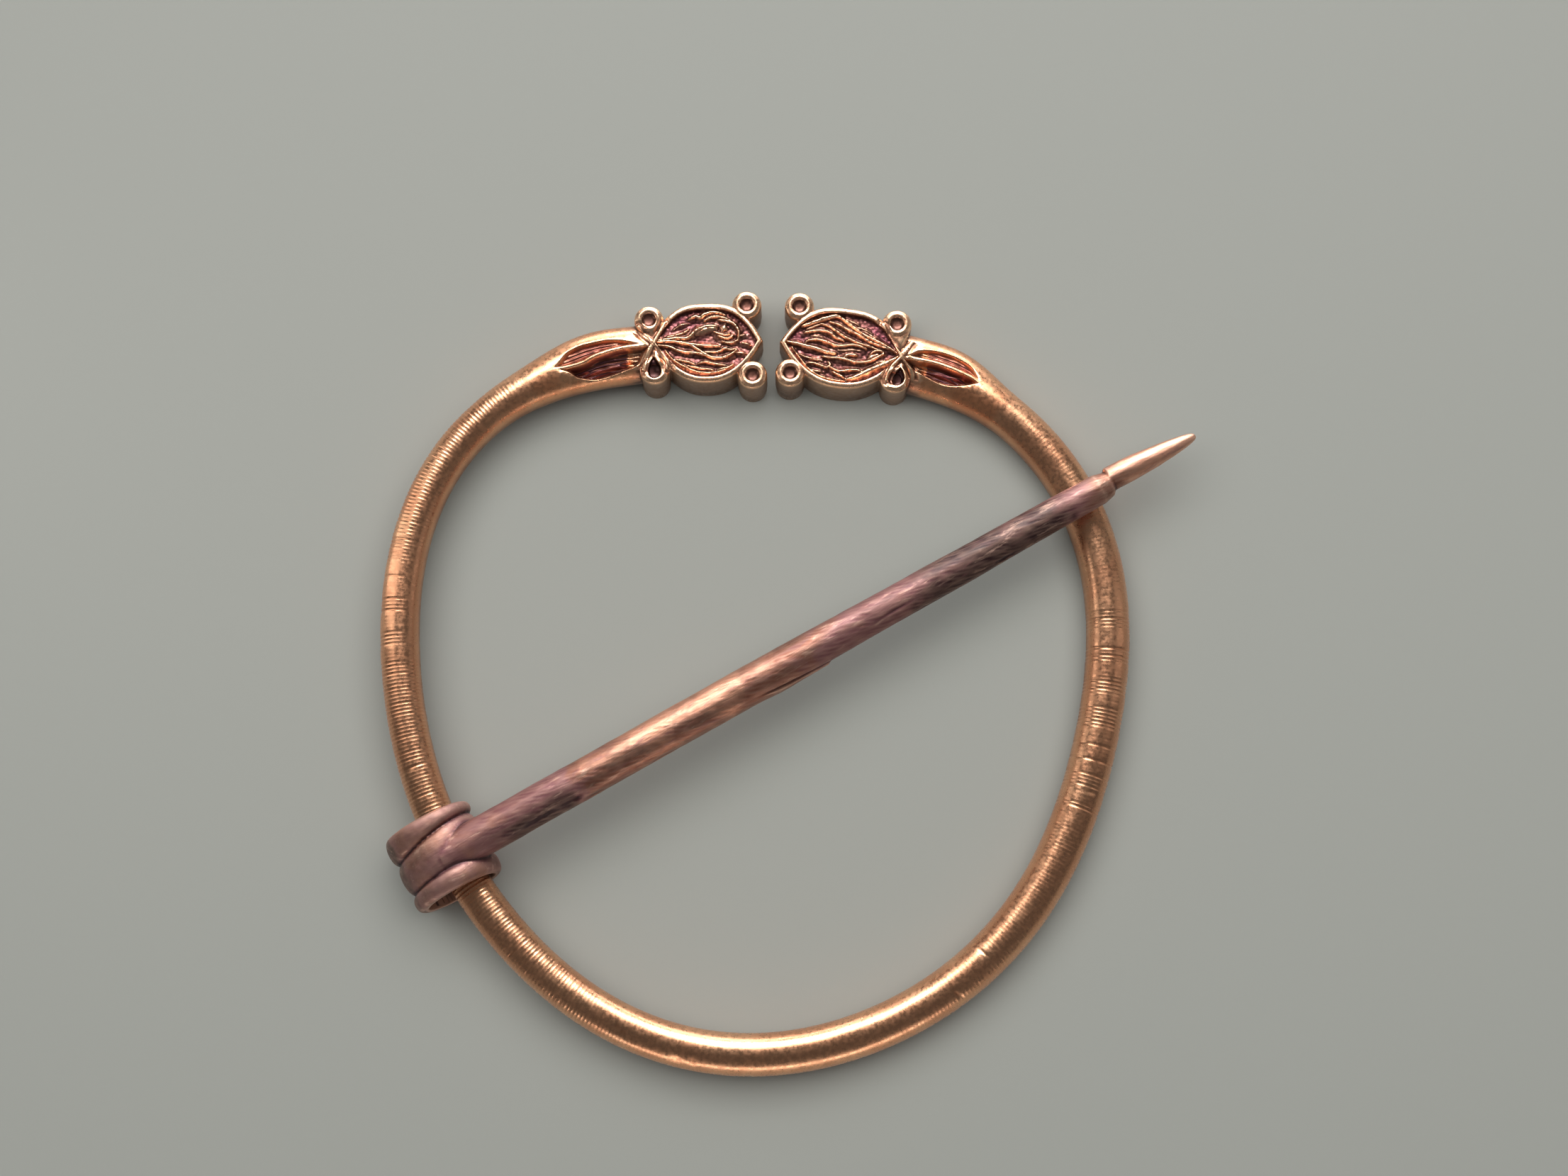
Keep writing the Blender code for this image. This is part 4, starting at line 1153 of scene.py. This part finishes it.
def shankBody():
    overHoop = (hoop["wire"] + hoop["uneven"]) / 2 + pin["restGap"] - pin["shiftUp"]
    overHoop += pin["flatness"] * pinHalf(pin["crossingAt"])
    slope = (overHoop - pin["rootHeight"]) / pin["crossingAt"]
    stops = list(np.linspace(0, pin["shoulderStart"], 120))
    stops += list(np.linspace(pin["shoulderStart"], pin["taper"], 12)[1:])
    stops += [pin["length"] - pin["tipLength"] * (1 - math.sin(t * math.pi / 2)) for t in np.linspace(0, 1, 22)[1:]]
    turn = 2 * np.pi * (np.arange(40) + 0.5) / 40
    sections = []
    for distance in stops:
        half = pinHalf(distance)
        aside = pin["shankAside"]
        if distance >= pin["shoulder"]:
            share = pin["tipAside"] - pin["endAside"]
            aside = pin["endAside"] + share * (distance - pin["shoulder"]) / pin["shoulderBack"]
        height = pin["rootHeight"] + slope * distance
        sections.append([Vector((distance, aside + half * math.cos(t),
                                 height + pin["flatness"] * half * math.sin(t))) for t in turn])
    return loft("pin", sections)


def barrelBody():
    # three ribs parted by two grooves, which run a little aslant
    turn = 2 * np.pi * np.arange(140) / 140
    x = pin["radius"] * np.cos(turn)
    half = sum(pin["ribs"]) / 2
    edges = [np.full(140, -half), pin["lowGroove"][0] + pin["lowGroove"][1] * x,
             pin["highGroove"][0] + pin["highGroove"][1] * x, np.full(140, half)]
    sections = []
    for rib in range(3):
        low, high = edges[rib], edges[rib + 1]
        for k in range(17):
            share = -1 + 2 * k / 16
            share = math.copysign(abs(share) ** 0.75, share)
            if rib and k == 0:
                continue
            sink = pin["groove"] * (1 - math.sqrt(max(0.0, 1 - 0.95 * share * share))) ** 1.1
            if (rib == 0 and share < 0) or (rib == 2 and share > 0):
                sink *= 0.8
            radius = pin["radius"] - sink
            y = low + (high - low) * (share + 1) / 2
            sections.append([Vector((radius * math.cos(t), yy, radius * math.sin(t))) for t, yy in zip(turn, y)])
    return loft("barrel", sections)


def boreBody():
    radius = pin["bore"] / 2
    turn = 2 * np.pi * (np.arange(120) + 0.5) / 120
    return loft("bore", [[Vector((radius * math.cos(t), y, radius * math.sin(t))) for t in turn] for y in (-9.0, 9.0)])


def wearPin(item):
    # faint oblique streaks, a lapped seam on the lower side, nicks, and a slightly uneven shank
    mesh = item.data
    points = readPoints(mesh)
    x, y, z = points.T
    slope = (hoop["wire"] / 2 + 1.5 - pin["rootHeight"]) / pin["crossingAt"]
    middle = pin["rootHeight"] + slope * x
    bearing = np.degrees(np.arctan2(z - middle, y - pin["shankAside"])) % 360
    shank = smoothStep(2.5, 6, x) * (1 - smoothStep(76, 79, x))
    away = np.stack([0 * x, np.cos(np.radians(bearing)), np.sin(np.radians(bearing))], -1)
    arc = bearing / 31   # the same in millimetres along the surface
    dent = 0.03 * wobble(x, arc * 2, 3.4, 0.7) + 0.012 * wobble(x + arc, arc * 3 - x, 1.6, 2.0)
    streaks = wobble(x * 0.4 + arc * 0.3, arc * 2.6 - x * 0.8, 0.55, 1.3 + 2 * wobble(x, arc, 2.4))
    dent += 0.013 * streaks * (1 + 0.8 * wobble(x * 0.7 - arc, arc + x, 1.9, 0.4))
    seam = 152 + 3.2 * (x - 33)
    lap = smoothStep(32.5, 34.5, x) * (1 - smoothStep(39.3, 39.6, x))
    lap *= smoothStep(seam - 2, seam + 3, bearing) * (1 - smoothStep(seam + 45, seam + 75, bearing))
    step = smoothStep(39.5, 39.8, x) * (1 - smoothStep(44, 52, x))
    step = step * smoothStep(150, 185, bearing) * (1 - smoothStep(220, 260, bearing))
    dent = dent * shank + pin["lapHeight"] * lap - pin["lapDrop"] * step
    groove = np.exp(-((bearing - seam) / 3.5) ** 2) * smoothStep(31.5, 34, x) * (1 - smoothStep(39.3, 39.8, x))
    dent -= pin["seamDepth"] * groove
    for place, at, long, wide, deep in pin["nicks"]:
        dent -= deep * np.exp(-((x - place) / long) ** 2 - ((bearing - at) / wide) ** 2)
    onShank = smoothStep(1.0, 3.0, x)
    points += away * (dent * onShank)[:, None]
    # the barrel is a little uneven too
    onBarrel = 1 - smoothStep(2.0, 4.5, x)
    turn = np.arctan2(z, x)
    reach = np.hypot(x, z)
    pitted = 0.03 * wobble(turn * 5, y, 1.7, 1.1) + 0.008 * wobble(turn * 5, y, 0.5, 0.2)
    pitted = np.where(reach > pin["bore"] / 2 + 0.25, pitted - 0.035, 0) * onBarrel
    points[:, 0] += np.cos(turn) * pitted
    points[:, 2] += np.sin(turn) * pitted
    writePoints(mesh, points)


def markPin(item):
    # its own coordinates in millimetres, squeezed along the pin so that a noise on them is streaky
    mesh = item.data
    local = np.array(pinPlace().inverted())
    points = readPoints(mesh) @ local[:3, :3].T + local[:3, 3]
    stretched = points * np.array((0.35, 1.6, 1.6))
    layer = mesh.attributes.new("pinPlace", "FLOAT_VECTOR", "POINT")
    layer.data.foreach_set("vector", stretched.astype(np.float32).ravel())
    x, y, z = points.T
    tone = fromTable(pin["tones"], x) + 0.12 * wobble(x, y * 2, 4.0)
    # darker: inside the bore, round the barrel's far side, and along the shank's lower side, which is painted shade on
    # the side away from the light and, near the head, also a rough dark patch of the metal
    tone -= 0.9 * smoothStep(pin["bore"] / 2 + 0.2, pin["bore"] / 2 + 0.02, np.hypot(x, z))
    tone -= 0.75 * smoothStep(-3.0, -3.9, x + 0.25 * wobble(y, z, 0.8))
    lower = smoothStep(0.15, -0.9, y - pin["shankAside"] + 0.4 * wobble(x, y, 1.4))
    tone -= 0.5 * lower * smoothStep(2.5, 6, x) * (1 - smoothStep(12, 15, x))
    tone -= 0.22 * lower * smoothStep(13, 18, x) * (1 - smoothStep(66, 69, x))
    writeValues(mesh, "tone", tone)
    crease = creases(mesh, 12)
    writeValues(mesh, "crease", np.clip(crease / 0.05, 0, 1))
    writeValues(mesh, "crest", np.clip(-crease / 0.06, 0, 1))


def makePin():
    body = shankBody()
    barrel = barrelBody()
    bore = boreBody()
    for item in (barrel, bore):
        item.data.transform(Matrix.Rotation(math.radians(pin["skew"]), 4, "Z"))
    combine(body, [barrel], "UNION")
    combine(body, [bore], "DIFFERENCE")
    remesh(body, pin["voxel"])
    soften(body, 2, 0.5)
    wearPin(body)
    body.data.transform(pinPlace())
    cutAtGround(body)
    thinOut(body, pin["triangles"])
    return body


def putInPlace(item, finish):
    item.data.transform(Matrix.Scale(toMetres, 4) @ lyingDown)
    points = readPoints(item.data)
    points[:, 2] = np.maximum(points[:, 2], 0)
    writePoints(item.data, points)
    item.data.shade_smooth()
    item.data.materials.clear()
    item.data.materials.append(finish)
    print(item.name, timeSoFar(), triangleCount(item), "triangles")


print("heads")
metal = hoopFinish()
parts = []
for name, head in (("leftHead", leftHead), ("rightHead", rightHead)):
    body = headBody(name, head)
    carveHead(body, head)
    cutAtGround(body)
    openAtJoin(body, head)
    thinOut(body, headMake["triangles"])
    parts.append(body)
print("wire", timeSoFar())
parts.insert(0, wireBody(metal))
hoopPiece = joinAll("bronzeHoop", parts)
wearHoop(hoopPiece)
markHoop(hoopPiece)
putInPlace(hoopPiece, metal)

pinPiece = makePin()
pinPiece.name = "bronzePin"
markPin(pinPiece)
putInPlace(pinPiece, pinFinish())

for piece, body, node, slot in ((hoopPiece, "ring", "hoop", "hoop_bronze"), (pinPiece, "pin", "pin", "pin_bronze")):
    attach(piece, body)
    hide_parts(node)


# Camera, floor and light
studio = {
    "cameraSpot": (2.843, -42.72, 239.949), "lookDown": 78, "lens": 60,
    "floorColour": (0.385, 0.405, 0.385, 1), "floorSize": 3.0,
    "air": (0.80, 0.83, 0.82, 1), "airStrength": 0.165,
}


def makeCamera():
    down = math.radians(studio["lookDown"])
    forward = Vector((0, math.cos(down), -math.sin(down)))
    right = Vector((1, 0, 0))
    up = right.cross(forward)
    turn = lyingDown.to_3x3()
    place = Matrix.Identity(4)
    spot = lyingDown @ Vector(studio["cameraSpot"]) * toMetres
    for column, axis in enumerate((right, up, -forward)):
        for row, value in enumerate(turn @ axis):
            place[row][column] = value
    for row in range(3):
        place[row][3] = spot[row]
    lens = bpy.data.cameras.new("camera")
    lens.lens = studio["lens"]
    lens.sensor_width = 36
    lens.clip_start = 0.01
    camera = bpy.data.objects.new("camera", lens)
    bpy.context.scene.collection.objects.link(camera)
    camera.matrix_world = place
    bpy.context.scene.camera = camera


def makeFloor():
    half = studio["floorSize"] / 2
    floor = addMesh("floor", [(-half, -half, 0), (half, -half, 0), (half, half, 0), (-half, half, 0)], [(0, 1, 2, 3)])
    material = bpy.data.materials.new("floorPaint")
    material.use_nodes = True
    shader = material.node_tree.nodes["Principled BSDF"]
    shader.inputs["Base Color"].default_value = studio["floorColour"]
    shader.inputs["Roughness"].default_value = 0.8
    floor.data.materials.append(material)


def areaLight(name, spot, aim, size, power, colour, onFloor, inMetal):
    light = bpy.data.lights.new(name, "AREA")
    light.shape = "RECTANGLE"
    light.size, light.size_y = size
    light.energy = power
    light.color = colour
    item = bpy.data.objects.new(name, light)
    bpy.context.scene.collection.objects.link(item)
    item.location = spot
    item.rotation_mode = "QUATERNION"
    item.rotation_quaternion = (Vector(aim) - Vector(spot)).to_track_quat("-Z", "Y")
    item.visible_diffuse = onFloor
    item.visible_glossy = inMetal


# name, spot, aim, size, power, colour; the first lights the floor and the others only the metal
lamps = (
    ("softLight", (-0.03, 0.16, 0.46), (-0.03, 0.1601, 0), (0.8, 0.5), 2.9, (1.0, 0.96, 0.91)),
    ("mainLight", (0.0, 0.30, 0.26), (0, 0.01, 0), (0.24, 0.12), 1.5, (1.0, 0.97, 0.95)),
    ("highLight", (-0.02, 0.26, 0.36), (0, 0, 0), (0.3, 0.09), 0.55, (1.0, 0.96, 0.95)),
    ("backLight", (0.03, 0.36, 0.05), (0, 0.02, 0), (0.34, 0.07), 0.6, (1.0, 0.97, 0.96)),
    ("leftSheen", (-0.09, 0.03, 0.035), (-0.035, 0, 0), (0.03, 0.09), 0.014, (1.0, 0.94, 0.88)),
    ("rightSheen", (0.13, 0.02, 0.05), (0.035, 0, 0), (0.04, 0.09), 0.006, (1.0, 0.93, 0.86)),
    ("frontSheen", (0.0, -0.22, 0.03), (0, 0, 0), (0.3, 0.04), 0.12, (1.0, 0.90, 0.82)),
)

makeCamera()
makeFloor()
world = bpy.data.worlds.new("air")
bpy.context.scene.world = world
world.use_nodes = True
feed(world.node_tree, world.node_tree.nodes["Background"], {"Color": studio["air"], "Strength": studio["airStrength"]})
for lamp in lamps:
    forFloor = lamp[0] == "softLight"
    areaLight(*lamp, forFloor, not forFloor)
bpy.context.scene.view_settings.view_transform = "Standard"

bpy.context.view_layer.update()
print("done", timeSoFar())
